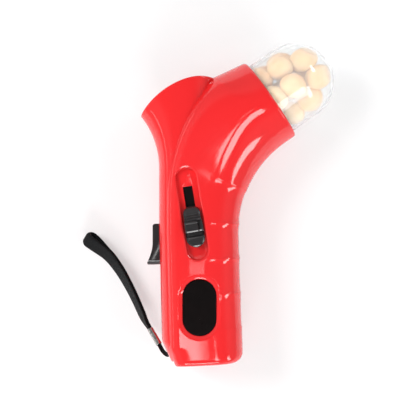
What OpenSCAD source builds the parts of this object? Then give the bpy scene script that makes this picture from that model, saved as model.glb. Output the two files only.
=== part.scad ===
// Hand-held treat launcher for pets.
// It lies on its back, with +Z out of the front face and +Y up the grip to the mouths.
// Plan positions are measured from a datum on the grip, and placed() moves the whole
// launcher so that its footprint is centred on the origin and it rests on z = 0.

/* [Grip] */
// Width of the main tube along the grip
grip_w = 44.6; // [42:0.2:50]
// Distance from the parting plane to the front of the grip
grip_front = 21.5; // [20:0.5:24]
// Distance from the parting plane to the back of the grip
grip_back = 25.6; // [23:0.1:26]
// Length of the straight grip below the bend
grip_len = 78.4; // [76:0.2:90]
// How far the grip leans sideways over its length
grip_lean = 2.2; // [0:0.1:3]
// How far the launch tube shows beside the main tube
strip_w = 3.6; // [2.5:0.1:4.5]
// Wall of the two casing shells
wall = 2.2; // [1.8:0.1:2.6]
// Spacing of the finger ridges
finger_pitch = 20.4; // [18:0.3:22]
// Depth of the hollows between the finger ridges
finger_depth = 0.5; // [0.3:0.1:1.2]

/* [Bend and hopper] */
// Radius of the inside of the bend
bend_in_r = 64; // [58:1:70]
// Radius of the outside of the bend
bend_out_r = 102; // [98:1:108]
// Angle that the hopper turns away from the grip
hopper_turn = 55; // [52:1:58]
// Straight length at the inside of the bend before the rim
hopper_len = 8; // [7:0.2:14]
// Outer radius of the round rim that takes the cup
collar_r = 26.5; // [26.5:0.1:28]

/* [Cup and treats] */
// Outer radius of the clear cup
cup_r = 23.4; // [22.6:0.1:23.6]
// Wall of the clear cup
cup_wall = 1.6; // [1.2:0.1:2]
// Straight length of the cup outside the rim
cup_straight = 18; // [15:0.5:22]
// Length of the cup's skirt inside the rim
cup_skirt = 11; // [9:0.5:12]
// Radius of one treat
treat_r = 6.5; // [5.6:0.1:6.6]
// Thickness of one treat
treat_t = 10.8; // [9:0.2:11]

/* [Launch tube] */
// Radius of the bore that a treat is shot through
bore_r = 10; // [9.6:0.1:10.4]
// Wall of the barrel
barrel_wall = 1.5; // [1.2:0.1:1.8]
// Angle between the barrel and the grip
barrel_tilt = 9.2; // [8:0.2:10]
// Distance from the barrel's datum to its muzzle
muzzle_s = 86; // [84:0.5:88]
// Depth of the counterbore in the muzzle
muzzle_depth = 4; // [3:0.5:6]
// Radius by which the counterbore is larger than the bore
muzzle_step = 0.6; // [0.4:0.1:0.8]
// Radius of the flare on the outside of the mouth
flare_r = 50; // [46:1:54]
// Radius of the slanted part of the lip, seen from the front
lip_r = 55.8; // [54:0.2:57]
// Radius of the lip's rounder end, beside the hopper
lip_end_r = 39; // [37:0.5:41]

/* [Slider] */
// Travel of the slider from the cocked place to the fired place
fire_travel = 18.6; // [16:0.2:18.6]
// Further pull of the slider below the cocked place
over_pull = 3.6; // [2:0.2:3.6]
// Length of the slider knob
knob_len = 24.8; // [23:0.2:26]
// Width of the slider knob
knob_w = 11; // [9.6:0.2:11.4]
// Width of the recess that the knob slides in
recess_w = 12.6; // [12.4:0.2:14]
// Distance from the parting plane to the recess floor
recess_floor = 17; // [16.6:0.1:17.6]
// Width of the stem that joins the knob to the striker
stem_w = 5; // [4:0.2:5]
// Length of that stem along the barrel
stem_len = 10; // [9:0.5:11]

/* [Trigger] */
// Thickness of the trigger lever
trigger_t = 9; // [8:0.5:10]
// Radius of the trigger's pivot pin
trigger_pin_r = 1.5; // [1.2:0.1:1.8]
// Angle through which the trigger is pressed
trigger_turn = 9; // [6:1:9]

/* [Pad and strap] */
// Width of the oval pad on the grip
pad_w = 19.6; // [18:0.2:22]
// Length of the oval pad
pad_len = 33.2; // [30:0.2:36]
// Width of the wrist strap's webbing
webbing_w = 9; // [8:0.5:10]
// Thickness of the folded webbing
webbing_t = 2.6; // [2:0.2:3]
// Radius of the strap's cord
cord_r = 1.3; // [1:0.1:1.4]

/* [Hidden] */

// Clearances: a sliding fit, a loose gap and the overlap that one cut makes past another
slide_gap = 0.15;
loose_gap = 0.4;
past = 1;

// Colours
red = "#e8262b";
black = "#17181a";
steel = "#b9bcc0";
cream = "#eed2a2";

// Plan of the grip
grip_left = -25.8;
grip_right = grip_left + grip_w;
bend_y = -13.4;
base_y = bend_y - grip_len;
base_tilt = 2.2;
base_round = 3;
corner_right_r = 6;
corner_left_w = 4;
corner_left_h = 11;

// Plan of the bend: an inner and an outer arc, then straight runs to the rim
bend_in_c = [grip_right + bend_in_r, bend_y];
bend_out_c = [grip_left + bend_out_r, bend_y + 20.2];
bend_out_turn = 44.2;
hopper_dir = [sin(hopper_turn), cos(hopper_turn)];
hopper_side = [-hopper_dir.y, hopper_dir.x];
in_arc = bend_in_r * hopper_turn * PI / 180;
rim_right = bend_in_c + bend_in_r * [-cos(hopper_turn), sin(hopper_turn)] + hopper_len * hopper_dir;
rim_c = rim_right + collar_r * hopper_side;
rim_left = rim_right + 2 * collar_r * hopper_side;
out_rise = bend_out_c.y - bend_y;
out_arc = bend_out_r * bend_out_turn * PI / 180;
out_end = bend_out_c + bend_out_r * [-cos(bend_out_turn), sin(bend_out_turn)];
out_run = norm(rim_left - out_end);
out_total = out_rise + out_arc + out_run;
bend_run = in_arc + hopper_len;
rim_v = bend_y + bend_run;

// Finger ridges: four ridges, with hollows between them
ridge_low = bend_y - 37;
ridge_count = 4;
ridge_top = ridge_low + (ridge_count - 1) * finger_pitch;
rings_per_pitch = 4;

// Launch tube and mouth
strip_left = grip_left - strip_w;
tube_front = grip_front - 2.2;
tube_back = grip_back - 0.6;
mouth_front = 18.5;
tube_base = base_y + 0.6;
flare_y = 23.6;
flare_c = [strip_left - flare_r, flare_y];
flare_turn = 44;
flare_run = flare_r * flare_turn * PI / 180;
tube_right = [2, flare_y];
mouth_right = [7, 83.5];
mouth_dir = [-0.47, 0.883];
mouth_past = 14;
lip_c = [6.3, 24.6];
lip_end_c = [-8, 40];

// Barrel: s is the distance along its axis from this datum
barrel_c = [-6, -25.2];
barrel_dir = [-sin(barrel_tilt), cos(barrel_tilt)];
barrel_r = bore_r + barrel_wall;
barrel_s0 = -38;
plug_t = 3.5;
port_r = 9;
funnel_wall = 1.6;
// Where the hopper's axis crosses the barrel's axis, as a distance from the rim
cross_det = hopper_dir.x * barrel_dir.y - hopper_dir.y * barrel_dir.x;
cross_k = ((rim_c.x - barrel_c.x) * barrel_dir.y - (rim_c.y - barrel_c.y) * barrel_dir.x) / cross_det;
funnel_top = cup_skirt + 1.2;
// How far the rim's thick collar reaches below the funnel's top
collar_deep = 4.5;
// Where the mouth's bell starts, above the port that the hopper feeds
bell_s = 74.5;

// Striker and slider
knob_s = 2.2;
stem_s = knob_s + 7.2;
striker_s0 = stem_s - 7.4;
striker_s1 = 36;
striker_r = bore_r - slide_gap;
striker_bore = striker_r - 1.6;
pad_t = 3;
head_t = 3;
knob_h = 7.6;
// Side of the knob as shares of its length and height: the foot, the notch, the thumb block,
// the ribs and the sloping nose
knob_side = [[0, 0], [0, 0.26], [0.03, 0.4], [0.226, 0.57], [0.258, 0.54], [0.27, 0.25], [0.347, 0.25],
    [0.371, 0.91], [0.4, 1], [0.629, 0.91], [0.65, 0.79], [0.677, 0.86], [0.702, 0.74], [0.73, 0.8],
    [0.754, 0.68], [0.79, 0.71], [0.879, 0.59], [0.952, 0.4], [0.992, 0.16], [1, 0]];
slot_w = stem_w + 0.6;
slot_s0 = stem_s - over_pull - loose_gap;
slot_s1 = stem_s + stem_len + fire_travel + loose_gap;
recess_s0 = knob_s - over_pull - 4.1;
recess_s1 = knob_s + knob_len + fire_travel + 4.1;
recess_plate = 2.1;
strip_t = 1;
strip_z = recess_floor - recess_plate - strip_t - 0.6;
knob_z0 = recess_floor + loose_gap;
strip_half = slot_w / 2 + 1.2;
strip_s0 = slot_s0 - fire_travel - 1;
strip_s1 = slot_s1 + over_pull + 1;
spring_r = 5.2;
spring_wire = 1.2;
spring_turns = 11;
spigot_r = spring_r - spring_wire;

// Trigger: plan points measured from its pivot
trigger_c = [strip_left + 4.8, -12.2];
trigger_top = trigger_c.y + 2.8;
trigger_foot = trigger_c.y - 22;
trigger_s = (trigger_c - barrel_c) * barrel_dir;
arm_len = 9.4;
// Depth of the pocket behind the trigger, which lets its foot swing in
trigger_room = 10.6 + (trigger_c.y - trigger_foot) * sin(trigger_turn);
return_y = trigger_c.y - 15.5;
return_x = trigger_c.x - 1.6;
barrel_side_x = barrel_c.x - (return_y - barrel_c.y) * tan(barrel_tilt) - barrel_r / cos(barrel_tilt);

// Screws, from the back, at these plan places
screw_places = [[grip_left + 9, base_y + 12], [grip_right - 7, base_y + 12], [grip_left + 5.2, bend_y - 39],
    [grip_right - 6, bend_y - 21], [grip_right - 9, bend_y + 16],
    rim_c - 36.2 * hopper_dir - 18.1 * hopper_side];
screw_r = 1.4;
screw_head_r = 2.8;
head_bore_r = screw_head_r + 0.3;
boss_r = head_bore_r + 1.2;
head_seat = 14;
screw_head_t = 2;
screw_len = 22;

// Pad
pad_c = [-5, bend_y - 45.2];
pad_deep = 2.4;
pad_thick = 1.8;

// Strap: the cord leaves the casing at the left foot of the grip
strap_pin_c = [-18.6, base_y + 4.4];
cord_route = [[-20.5, -87.4, -1], [-22.4, -87.8, -1.8], [-24.8, -88.4, -4.8], [-27.5, -86.4, -9.2],
    [-29.6, -82.8, -11]];
crimp_end = [-35.4, -73.4, -15];
webbing_route = [[-35.4, -73.4, -15], [-38.9, -67.7, -17.4], [-43.6, -57.4, -19], [-47.6, -49.2, -19.6],
    [-52.6, -40.2, -20], [-56.8, -34, -20], [-60.4, -29.6, -20], [-65.6, -24.8, -20],
    [-70.6, -20.6, -20], [-74.4, -18, -20]];

// The cup's axis starts at the rim, and these are the treats along it, across it and up, in a
// cup of this inner radius: the heap grows with the cup
heap_cup_r = 21.8;
heap_grow = (cup_r - cup_wall) / heap_cup_r;
treats_top = [[14.6, -1.6, 15.5], [28.6, 7.5, 8.2], [14.4, 11.4, 10.6], [29.9, -5.7, 7.5], [18.4, -13.4, 6.4],
    [1.2, -1.2, 15.6], [5.2, -13.6, 5.8], [1, 12.4, 9.2], [17.6, 14.4, -4]];
treats_low = [[-5, 0.4, 1.4], [8.3, -1.2, 1.8], [21.5, 1.3, 0.6], [4, 13.9, -6], [4.6, -12.6, -7.8],
    [18, -12.8, -7.6], [15.5, 2.2, -15.2], [2.3, 3, -15.2]];

// Footprint, from the mouth's corner, the cup's round end and the foot of the grip
mouth_corner_x = flare_c.x + flare_r * cos(38.7);
dome_c = rim_c + cup_straight * hopper_dir;
mid_x = (mouth_corner_x + dome_c.x + cup_r) / 2;
mid_y = (base_y - base_tilt / 2 + dome_c.y + cup_r) / 2;
far = 260;

// A smooth step from 0 to 1
function ease(x) = let(t = max(0, min(1, x))) t * t * (3 - 2 * t);
function across(x, lo, hi) = (x - lo) / (hi - lo);
function unit(v) = v / norm(v);
// How far an edge of radius r stands back at height h above its end
function edge_back(h, r) = h >= r ? 0 : r - sqrt(r * r - (r - max(h, 0)) * (r - max(h, 0)));

// Sideways lean of the grip at height v
function lean(v) = grip_lean * max(0, across(v, bend_y, base_y));

// Plan of the main tube: v is y on the grip, and the distance along the inside of the bend past it
function main_right(v) = v <= bend_y ? [grip_right + lean(v), v]
    : v <= bend_y + in_arc ? let(a = (v - bend_y) / bend_in_r * 180 / PI)
        bend_in_c + bend_in_r * [-cos(a), sin(a)]
    : rim_right - (rim_v - v) * hopper_dir;
function out_path(d) = d <= out_rise ? [grip_left, bend_y + d]
    : d <= out_rise + out_arc ? let(a = (d - out_rise) / bend_out_r * 180 / PI)
        bend_out_c + bend_out_r * [-cos(a), sin(a)]
    : out_end + (d - out_rise - out_arc) * unit(rim_left - out_end);
function main_left(v) = v <= bend_y
    ? [grip_left + lean(v), v - base_tilt * max(0, across(v, bend_y, base_y))]
    : out_path((v - bend_y) / bend_run * out_total);

// Hollow between two finger ridges at height v
function finger_hollow(v) = let(n = (v - ridge_low) / finger_pitch, q = n - floor(n))
    n < -1 || n >= ridge_count - 1 ? 0
    : (n < 0 ? 0.6 : 1) * finger_depth * 4 * q * (1 - q);

// One closed section between two plan points, with its own depth in front and behind
function section(left, right, front, back, n_left, n_right, steps) =
    let(c = (left + right) / 2, a = norm(left - right) / 2, e = unit(left - right))
    [for (i = [0:steps - 1]) let(t = 360 * (i + 0.5) / steps, u = cos(t), w = sin(t),
        n = u > 0 ? n_left : n_right, b = w > 0 ? front : back,
        r = pow(pow(abs(u) / a, n) + pow(abs(w) / b, n), -1 / n))
        [c.x + e.x * r * u, c.y + e.y * r * u, r * w]];

function main_section(v, inset, steps) =
    let(h = v - base_y - inset, f = across(v, bend_y, rim_v),
        left = main_left(v), right = main_right(v), e = unit(left - right),
        chamfer = corner_left_w * max(0, 1 - h / corner_left_h),
        l = left - e * (inset + chamfer),
        r = right + e * (inset + edge_back(h, corner_right_r) + (inset > 0 ? 0 : finger_hollow(v))),
        back_off = inset + edge_back(h, base_round), round = ease(across(f, 0.1, 0.8)),
        round_left = ease(across(f, 0.5, 0.96)))
    section(l, r, grip_front + (collar_r - grip_front) * ease(across(f, 0.25, 0.95)) - back_off,
        grip_back + (collar_r - grip_back) * ease(f) - back_off,
        5 - 3 * round_left, 3.2 - 1.2 * round, steps);

function tube_left(v) = v <= flare_y ? [strip_left + lean(v), v]
    : let(a = (v - flare_y) / flare_r * 180 / PI) flare_c + flare_r * [cos(a), sin(a)];
function tube_section(v, inset, steps) =
    let(h = v - tube_base - inset, f = max(0, across(v, flare_y, flare_y + flare_run)),
        left = tube_left(v), right = v <= flare_y ? [tube_right.x, v] : tube_right + f * (mouth_right - tube_right),
        e = unit(left - right), chamfer = 5 * max(0, 1 - h / 12), open = ease(f),
        back_off = inset + edge_back(h, base_round))
    section(left - e * (inset + chamfer), right + e * inset,
        tube_front + (mouth_front - tube_front) * open - back_off,
        tube_back + (mouth_front + 3.5 - tube_back) * open - back_off,
        3 - 0.8 * open, 3 - 0.8 * open, steps);
function moved(ring, step) = [for (p = ring) p + step];

// Heights of the sections: close at the foot, on the ridges, then even round the bend
main_heights = concat([base_y, base_y + 0.9, base_y + 2.8, base_y + 7, base_y + 13],
    [for (i = [0:ridge_count * rings_per_pitch]) ridge_low - finger_pitch + i * finger_pitch / rings_per_pitch],
    [for (i = [1:9]) ridge_top + i * (rim_v - ridge_top) / 9]);
inner_heights = concat([base_y + wall, base_y + 14, bend_y], [for (i = [1:8]) bend_y + i * (rim_v - bend_y) / 8]);
tube_heights = concat([tube_base, tube_base + 1.2, tube_base + 12, flare_y - 4],
    [for (i = [0:6]) flare_y + i * flare_run / 6]);
tube_in_heights = concat([tube_base + wall, tube_base + 12],
    [for (i = [0:5]) flare_y + i * flare_run / 5]);

// A closed skin through a list of sections
module loft(rings) {
    m = len(rings[0]);
    last = len(rings) - 1;
    polyhedron(points = [for (r = rings) each r],
        faces = concat([[for (i = [0:m - 1]) i]], [[for (i = [0:m - 1]) last * m + m - 1 - i]],
            [for (k = [0:last - 1]) for (i = [0:m - 1]) let(j = (i + 1) % m) each
                [[k * m + i, (k + 1) * m + i, (k + 1) * m + j], [k * m + i, (k + 1) * m + j, k * m + j]]]));
}

module placed() {
    translate([-mid_x, -mid_y, collar_r]) children();
}

// Local frames: the barrel's axis along y, and the hopper's axis along z out of the rim
module on_barrel() {
    translate(barrel_c) rotate([0, 0, barrel_tilt]) children();
}
module along_barrel(s) {
    on_barrel() translate([0, s, 0]) rotate([-90, 0, 0]) children();
}
module on_hopper(k = 0) {
    translate(rim_c + k * hopper_dir) rotate([0, 0, 90 - hopper_turn]) rotate([0, 90, 0]) children();
}

// A round-ended bar, upright in z, between two points on the barrel's line
module stadium(s0, s1, w, z0, z1) {
    hull() {
        for (s = [s0 + w / 2, s1 - w / 2])
            translate([0, s, z0]) cylinder(d = w, h = z1 - z0, $fn = 32);
    }
}
module oval(w, len, z0, z1, grow = 0) {
    hull() {
        for (y = [-1, 1] * (len - w) / 2)
            translate([pad_c.x, pad_c.y + y, z0]) {
                cylinder(d = w, h = 0.01, $fn = 36);
                translate([0, 0, z1 - z0 - 0.01]) cylinder(d = w + 2 * grow, h = 0.01, $fn = 36);
            }
    }
}

// The casing's outside: the main tube, and the launch tube cut to its bulging lip
module main_body(inset, heights, steps) {
    loft([for (v = heights) main_section(v, inset, steps)]);
}
module tube_body(inset, heights, steps, top) {
    end = tube_section(flare_y + flare_run, inset, steps);
    loft(concat([for (v = heights) tube_section(v, inset, steps)], [moved(end, concat(top * mouth_dir, [0]))]));
}
module lip_part(centre, r) {
    translate(centre) cylinder(r = r, h = far, center = true, $fn = 120);
    translate([-far / 2, -far, -far / 2]) cube([far, far + centre.y, far]);
}
module lip_side() {
    intersection() {
        lip_part(lip_c, lip_r);
        lip_part(lip_end_c, lip_end_r);
    }
}
module casing_outside() {
    main_body(0, main_heights, 32);
    intersection() {
        tube_body(0, tube_heights, 24, mouth_past);
        lip_side();
    }
}
// The mouth is a bell from the barrel's end to the lip
function barrel_ring(s, r, steps) = let(p = barrel_c + s * barrel_dir, e = [-barrel_dir.y, barrel_dir.x])
    [for (i = [0:steps - 1]) let(t = 360 * (i + 0.5) / steps) [p.x + e.x * r * cos(t), p.y + e.y * r * cos(t), r * sin(t)]];
function between(a, b, f) = [for (i = [0:len(a) - 1]) a[i] + f * (b[i] - a[i])];
module bell(s, r, inset) {
    small = barrel_ring(s, r, 24);
    wide = moved(tube_section(flare_y + flare_run, inset, 24), concat(2 * mouth_dir, [0]));
    loft(concat([for (i = [0:4]) between(small, wide, i / 4)], [moved(wide, concat(mouth_past * mouth_dir, [0]))]));
}
module casing_hollow() {
    difference() {
        union() {
            main_body(wall, inner_heights, 20);
            tube_body(wall, tube_in_heights, 20, mouth_past);
        }
        bell(bell_s, barrel_r + wall, 0);
        // Plates under the recess, under the pad, and round the barrel's end
        on_barrel() stadium(recess_s0 - wall, recess_s1 + wall, recess_w + 2 * wall,
            recess_floor - recess_plate, grip_front + past);
        oval(pad_w + 2 * wall, pad_len + 2 * wall, grip_front - pad_deep - wall, grip_front + past);
        screw_bosses();
        trigger_bosses();
        saddle(barrel_s0 + 6);
        saddle(-14);
        saddle(40);
        strap_boss();
        collar();
    }
}
module screw_bosses() {
    for (p = screw_places)
        hull() {
            translate([p.x, p.y, -far / 2]) cylinder(r = boss_r, h = far, $fn = 16);
        }
}
module trigger_bosses() {
    for (side = [-1, 1])
        translate([trigger_c.x, trigger_c.y, side * (trigger_t / 2 + loose_gap + 15)])
            cylinder(r = trigger_pin_r + 2, h = 30, center = true, $fn = 16);
}
module saddle(s) {
    on_barrel() translate([-25, s, -far / 2]) cube([50, 2, far]);
}
module strap_boss() {
    for (side = [-1, 1])
        translate([strap_pin_c.x, strap_pin_c.y, side * (cord_r + 1 + 15)])
            cylinder(r = 3.4, h = 30, center = true, $fn = 16);
}
// The rim is solid from below the cup's skirt up, and the seat is bored in it
module collar() {
    on_hopper(-funnel_top - collar_deep) cylinder(r = collar_r + past, h = far, $fn = 32);
}
module casing_cuts() {
    // Cup seat, barrel, funnel
    on_hopper(-funnel_top - 0.1) cylinder(r = cup_r + slide_gap, h = far, $fn = 64);
    on_hopper(-cup_skirt - 8) cylinder(r = cup_r - 2, h = 10, $fn = 48);
    intersection() {
        bell(muzzle_s - 1, bore_r + muzzle_step, wall);
        along_barrel(muzzle_s - 1.5) cylinder(r = far, h = far, $fn = 24);
    }
    along_barrel(barrel_s0 - 0.2) cylinder(r = barrel_r + slide_gap, h = muzzle_s - barrel_s0 + 0.2, $fn = 40);
    // Slider recess and slot
    on_barrel() {
        stadium(recess_s0, recess_s1, recess_w, recess_floor, collar_r + past);
        translate([-slot_w / 2, slot_s0, 0]) cube([slot_w, slot_s1 - slot_s0, collar_r]);
        // Room for the dust strip under the slot
        translate([-strip_half - loose_gap, strip_s0 - over_pull - loose_gap, 0])
            cube([2 * (strip_half + loose_gap), strip_s1 + fire_travel - strip_s0 + over_pull + 2 * loose_gap,
                strip_z + strip_t + 0.3]);
    }
    // Pad pocket, with a chamfer at its rim
    oval(pad_w + 0.3, pad_len + 0.3, grip_front - pad_deep, grip_front + past);
    oval(pad_w + 0.3, pad_len + 0.3, grip_front - 1.3, grip_front + 0.4, 1.9);
    // Trigger window and pin
    translate([strip_left - 10, trigger_foot - 3.2, -trigger_t / 2 - loose_gap])
        cube([16, trigger_top - trigger_foot + 4, trigger_t + 2 * loose_gap]);
    translate([strip_left + 1.7, trigger_foot - 3.2, -trigger_t / 2 - loose_gap])
        cube([trigger_room, trigger_c.y + arm_len + 1 - trigger_foot + 3.2, trigger_t + 2 * loose_gap]);
    translate([trigger_c.x, trigger_c.y, 0])
        cylinder(r = trigger_pin_r + 0.1, h = 19, center = true, $fn = 20);
    // Strap window and pin
    for (i = [0:2])
        hull() {
            for (p = [cord_route[i], cord_route[i + 1]])
                translate(p) sphere(r = cord_r + 0.9, $fn = 12);
        }
    translate([strap_pin_c.x, strap_pin_c.y, 0]) cylinder(r = 1.6, h = 17, center = true, $fn = 16);
    // Screw holes and their counterbores at the back
    for (p = screw_places) {
        hull() {
            translate([p.x, p.y, -far]) cylinder(r = screw_r + 0.1, h = far - head_seat + screw_len + past, $fn = 16);
        }
        translate([p.x, p.y, -far - head_seat]) cylinder(r = head_bore_r, h = far, $fn = 20);
    }
}
module casing() {
    difference() {
        casing_outside();
        casing_hollow();
        casing_cuts();
    }
}
module front_half() {
    translate([-far / 2, -far / 2, 0]) cube([far, far, far]);
}

module front_shell() {
    color(red) placed() intersection() {
        casing();
        front_half();
    }
}
module rear_shell() {
    color(red) placed() difference() {
        casing();
        front_half();
    }
}
module grip_pad() {
    z = grip_front - pad_deep;
    color(black) placed() translate([pad_c.x, pad_c.y, z]) {
        linear_extrude(pad_thick) {
            translate([0, (pad_len - pad_w) / 2]) circle(d = pad_w, $fn = 64);
            translate([0, (pad_w - pad_len) / 2]) circle(d = pad_w, $fn = 64);
            square([pad_w, pad_len - pad_w], center = true);
        }
        translate([1.5, -pad_len * 0.29, pad_thick - 0.1]) cylinder(d = 1.2, h = 0.2, $fn = 24);
    }
}

// Solid of the inside of the funnel, out to the rim
module funnel_form(r_top, r_port, z_up) {
    rotate_extrude($fn = 72) polygon([[0, -cross_k], [r_port, -cross_k], [r_port, 26 - cross_k],
        [r_top, -funnel_top], [r_top, z_up], [0, z_up]]);
}
module launch_barrel() {
    color("#d9dadb") placed() difference() {
        along_barrel(barrel_s0) cylinder(r = barrel_r, h = muzzle_s - barrel_s0, $fn = 72);
        along_barrel(barrel_s0 - past) cylinder(r = bore_r, h = muzzle_s - barrel_s0 + 2 * past, $fn = 72);
        along_barrel(muzzle_s - muzzle_depth) cylinder(r = bore_r + muzzle_step, h = muzzle_depth + past, $fn = 72);
        on_hopper() rotate_extrude($fn = 72) polygon([[0, -cross_k], [port_r, -cross_k], [port_r, 0], [0, 0]]);
        // Slots for the stem and for the trigger's catch
        on_barrel() translate([-slot_w / 2, slot_s0, 0]) cube([slot_w, slot_s1 - slot_s0, far]);
        on_barrel() translate([-far, trigger_s + 2, -trigger_t / 2]) cube([far, 12, trigger_t]);
    }
}
module barrel_end_plug() {
    color(black) placed() {
        along_barrel(barrel_s0 - 0.1) cylinder(r = barrel_r, h = 0.1, $fn = 72);
        along_barrel(barrel_s0) cylinder(r = bore_r - 0.02, h = plug_t, $fn = 72);
        along_barrel(barrel_s0 + plug_t) cylinder(r = spigot_r - 0.2, h = 6, $fn = 48);
    }
}
module feed_funnel() {
    color("#e9e9ea") placed() difference() {
        union() {
            on_hopper() funnel_form(cup_r - 2.6, port_r + funnel_wall, -funnel_top + 0.5);
            on_hopper(-funnel_top) cylinder(r = cup_r - 0.1, h = 1, $fn = 72);
        }
        on_hopper() funnel_form(cup_r - 2.6 - funnel_wall, port_r, 1);
        along_barrel(barrel_s0) cylinder(r = barrel_r + 0.05, h = muzzle_s - barrel_s0, $fn = 72);
    }
}
module cup_seal() {
    color("#3a3a3c") placed() on_hopper(-cup_skirt - 0.2) rotate_extrude($fn = 72)
        translate([cup_r - 1.9, 0]) square([1.7, 0.2]);
}
module casing_screws() {
    color(steel) placed() for (p = screw_places)
        translate([p.x, p.y, -head_seat]) {
            translate([0, 0, -screw_head_t]) cylinder(r = screw_head_r, h = screw_head_t, $fn = 32);
            cylinder(r = screw_r, h = screw_len, $fn = 32);
        }
}
module trigger_pin() {
    color(steel) placed() translate([trigger_c.x, trigger_c.y, -9])
        cylinder(r = trigger_pin_r, h = 18, $fn = 48);
}
module strap_pin() {
    color(steel) placed() translate([strap_pin_c.x, strap_pin_c.y, -8]) cylinder(r = 1.5, h = 16, $fn = 32);
}

module striker() {
    color("#c9cacb") placed() difference() {
        along_barrel(striker_s0) cylinder(r = striker_r, h = striker_s1 - striker_s0, $fn = 72);
        along_barrel(striker_s0 - past) cylinder(r = striker_bore, h = striker_s1 - striker_s0 - head_t + past, $fn = 72);
        // Flat seat for the stem, and its screw hole
        on_barrel() translate([-stem_w / 2, stem_s, striker_r - 0.8]) cube([stem_w, stem_len, 3]);
        on_barrel() translate([0, stem_s + stem_len / 2, 0]) cylinder(r = 1.3, h = 20, $fn = 32);
    }
}
module striker_pad() {
    color("#2b2b2d") placed() along_barrel(striker_s1) cylinder(r = striker_r - 0.2, h = pad_t, $fn = 72);
}
module slider_stem() {
    color(black) placed() on_barrel() difference() {
        translate([-stem_w / 2, stem_s, striker_r - 0.8]) cube([stem_w, stem_len, knob_z0 - striker_r + 0.8]);
        translate([0, stem_s + stem_len / 2, 0]) cylinder(r = 1.2, h = 20, $fn = 32);
    }
}
module slider_knob() {
    z = knob_z0;
    color(black) placed() on_barrel() difference() {
        intersection() {
            translate([-knob_w / 2, 0, 0]) rotate([90, 0, 90]) linear_extrude(knob_w) translate([knob_s, z])
                polygon([for (q = knob_side) [q.x * knob_len, q.y * knob_h]]);
            union() {
                translate([0, knob_s + knob_w / 2, 0]) cylinder(d = knob_w, h = 40, $fn = 48);
                translate([-knob_w / 2, knob_s + knob_w / 2, 0]) cube([knob_w, knob_len * 0.45, 40]);
                translate([0, knob_s + knob_len - 5, 0]) cylinder(r = 5, h = 40, $fn = 48);
                translate([-5, knob_s + knob_w / 2, 0]) cube([10, knob_len - knob_w / 2 - 5, 40]);
            }
        }
        translate([0, stem_s + stem_len / 2, z - past]) cylinder(r = 1.2, h = 4.5, $fn = 32);
    }
}
module slider_screw() {
    color(steel) placed() on_barrel() translate([0, stem_s + stem_len / 2, 0]) {
        translate([0, 0, striker_bore - 1.9]) cylinder(r = 2.2, h = 1.3, $fn = 32);
        translate([0, 0, striker_bore - 0.6]) cylinder(r = 1.1, h = knob_z0 + 2.8 - striker_bore, $fn = 32);
    }
}
module dust_strip() {
    color(black) placed() on_barrel() difference() {
        translate([-strip_half, strip_s0, strip_z]) cube([2 * strip_half, strip_s1 - strip_s0, strip_t]);
        translate([-stem_w / 2 - 0.02, stem_s - 0.02, 0]) cube([stem_w + 0.04, stem_len + 0.04, 40]);
    }
}

// A round wire wound along z, with the least gap between its turns measured on its points
function least_gap(path, wire_r, per_turn) = min([for (i = [0:len(path) - 1 - per_turn])
    for (j = [i + per_turn - 1:min(i + per_turn + 1, len(path) - 1)]) norm(path[j] - path[i])]) - 2 * wire_r;
module coil(name, r, wire_r, len, turns, per_turn, sides) {
    pitch = (len - 2 * wire_r) / turns;
    path = [for (i = [0:turns * per_turn]) let(t = 360 * i / per_turn)
        [r * cos(t), r * sin(t), wire_r + pitch * i / per_turn]];
    echo(name, least_gap_mm = least_gap(path, wire_r, per_turn));
    loft([for (p = path) let(e = [p.x, p.y, 0] / r)
        [for (k = [0:sides - 1]) let(a = -360 * k / sides) p + wire_r * (cos(a) * e + [0, 0, sin(a)])]]);
}
module drive_spring() {
    s0 = barrel_s0 + plug_t + 0.1;
    color(steel) placed() along_barrel(s0)
        coil("drive_spring", spring_r, spring_wire / 2, striker_s1 - head_t - s0 - 0.1, spring_turns, 14, 6);
}
module trigger_lever() {
    p = trigger_c;
    color(black) placed() difference() {
        translate([0, 0, -trigger_t / 2]) linear_extrude(trigger_t) difference() {
            union() {
                // Thumb face, straight and then flared to a rounded foot
                polygon([p + [-8.5, 1.6], p + [-8.5, -12], p + [-9.2, -15.6], p + [-11, -19.2], p + [-11.7, -20.6],
                    p + [-11.5, -21.6], p + [-10.4, -22], p + [-2.2, -21.4], p + [-0.6, -18], p + [0.4, -4],
                    p + [1.6, 0], p + [0, 2.8], p + [-7.2, 2.8]]);
                translate(p) circle(r = trigger_pin_r + 1.9, $fn = 40);
                // Catch arm
                polygon([p + [-1, 0], p + [1.6, 0], p + [2, 6], p + [4.6, 7], p + [4.6, arm_len], p + [-1, arm_len]]);
            }
            translate(p) circle(r = trigger_pin_r + 0.05, $fn = 48);
        }
        translate([return_x, return_y, 0]) rotate([0, 90, 0]) cylinder(r = 2.7, h = 20, $fn = 32);
    }
}
module trigger_spring() {
    x0 = return_x + 0.05;
    color(steel) placed() translate([x0, return_y, 0]) rotate([0, 90, 0])
        coil("trigger_spring", 1.9, 0.3, barrel_side_x - 0.1 - x0, 5, 10, 5);
}

module treat_cup() {
    outer = cup_r;
    inner = cup_r - cup_wall;
    color([0.95, 0.96, 0.97, 0.4]) placed() on_hopper(-cup_skirt) rotate_extrude($fn = 96) difference() {
        union() {
            square([outer, cup_skirt + cup_straight]);
            intersection() {
                translate([0, cup_skirt + cup_straight]) circle(r = outer, $fn = 96);
                translate([0, cup_skirt + cup_straight]) square(outer);
            }
        }
        translate([0, -past]) square([inner, cup_skirt + cup_straight + past]);
        translate([0, cup_skirt + cup_straight]) circle(r = inner, $fn = 96);
    }
}
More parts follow.
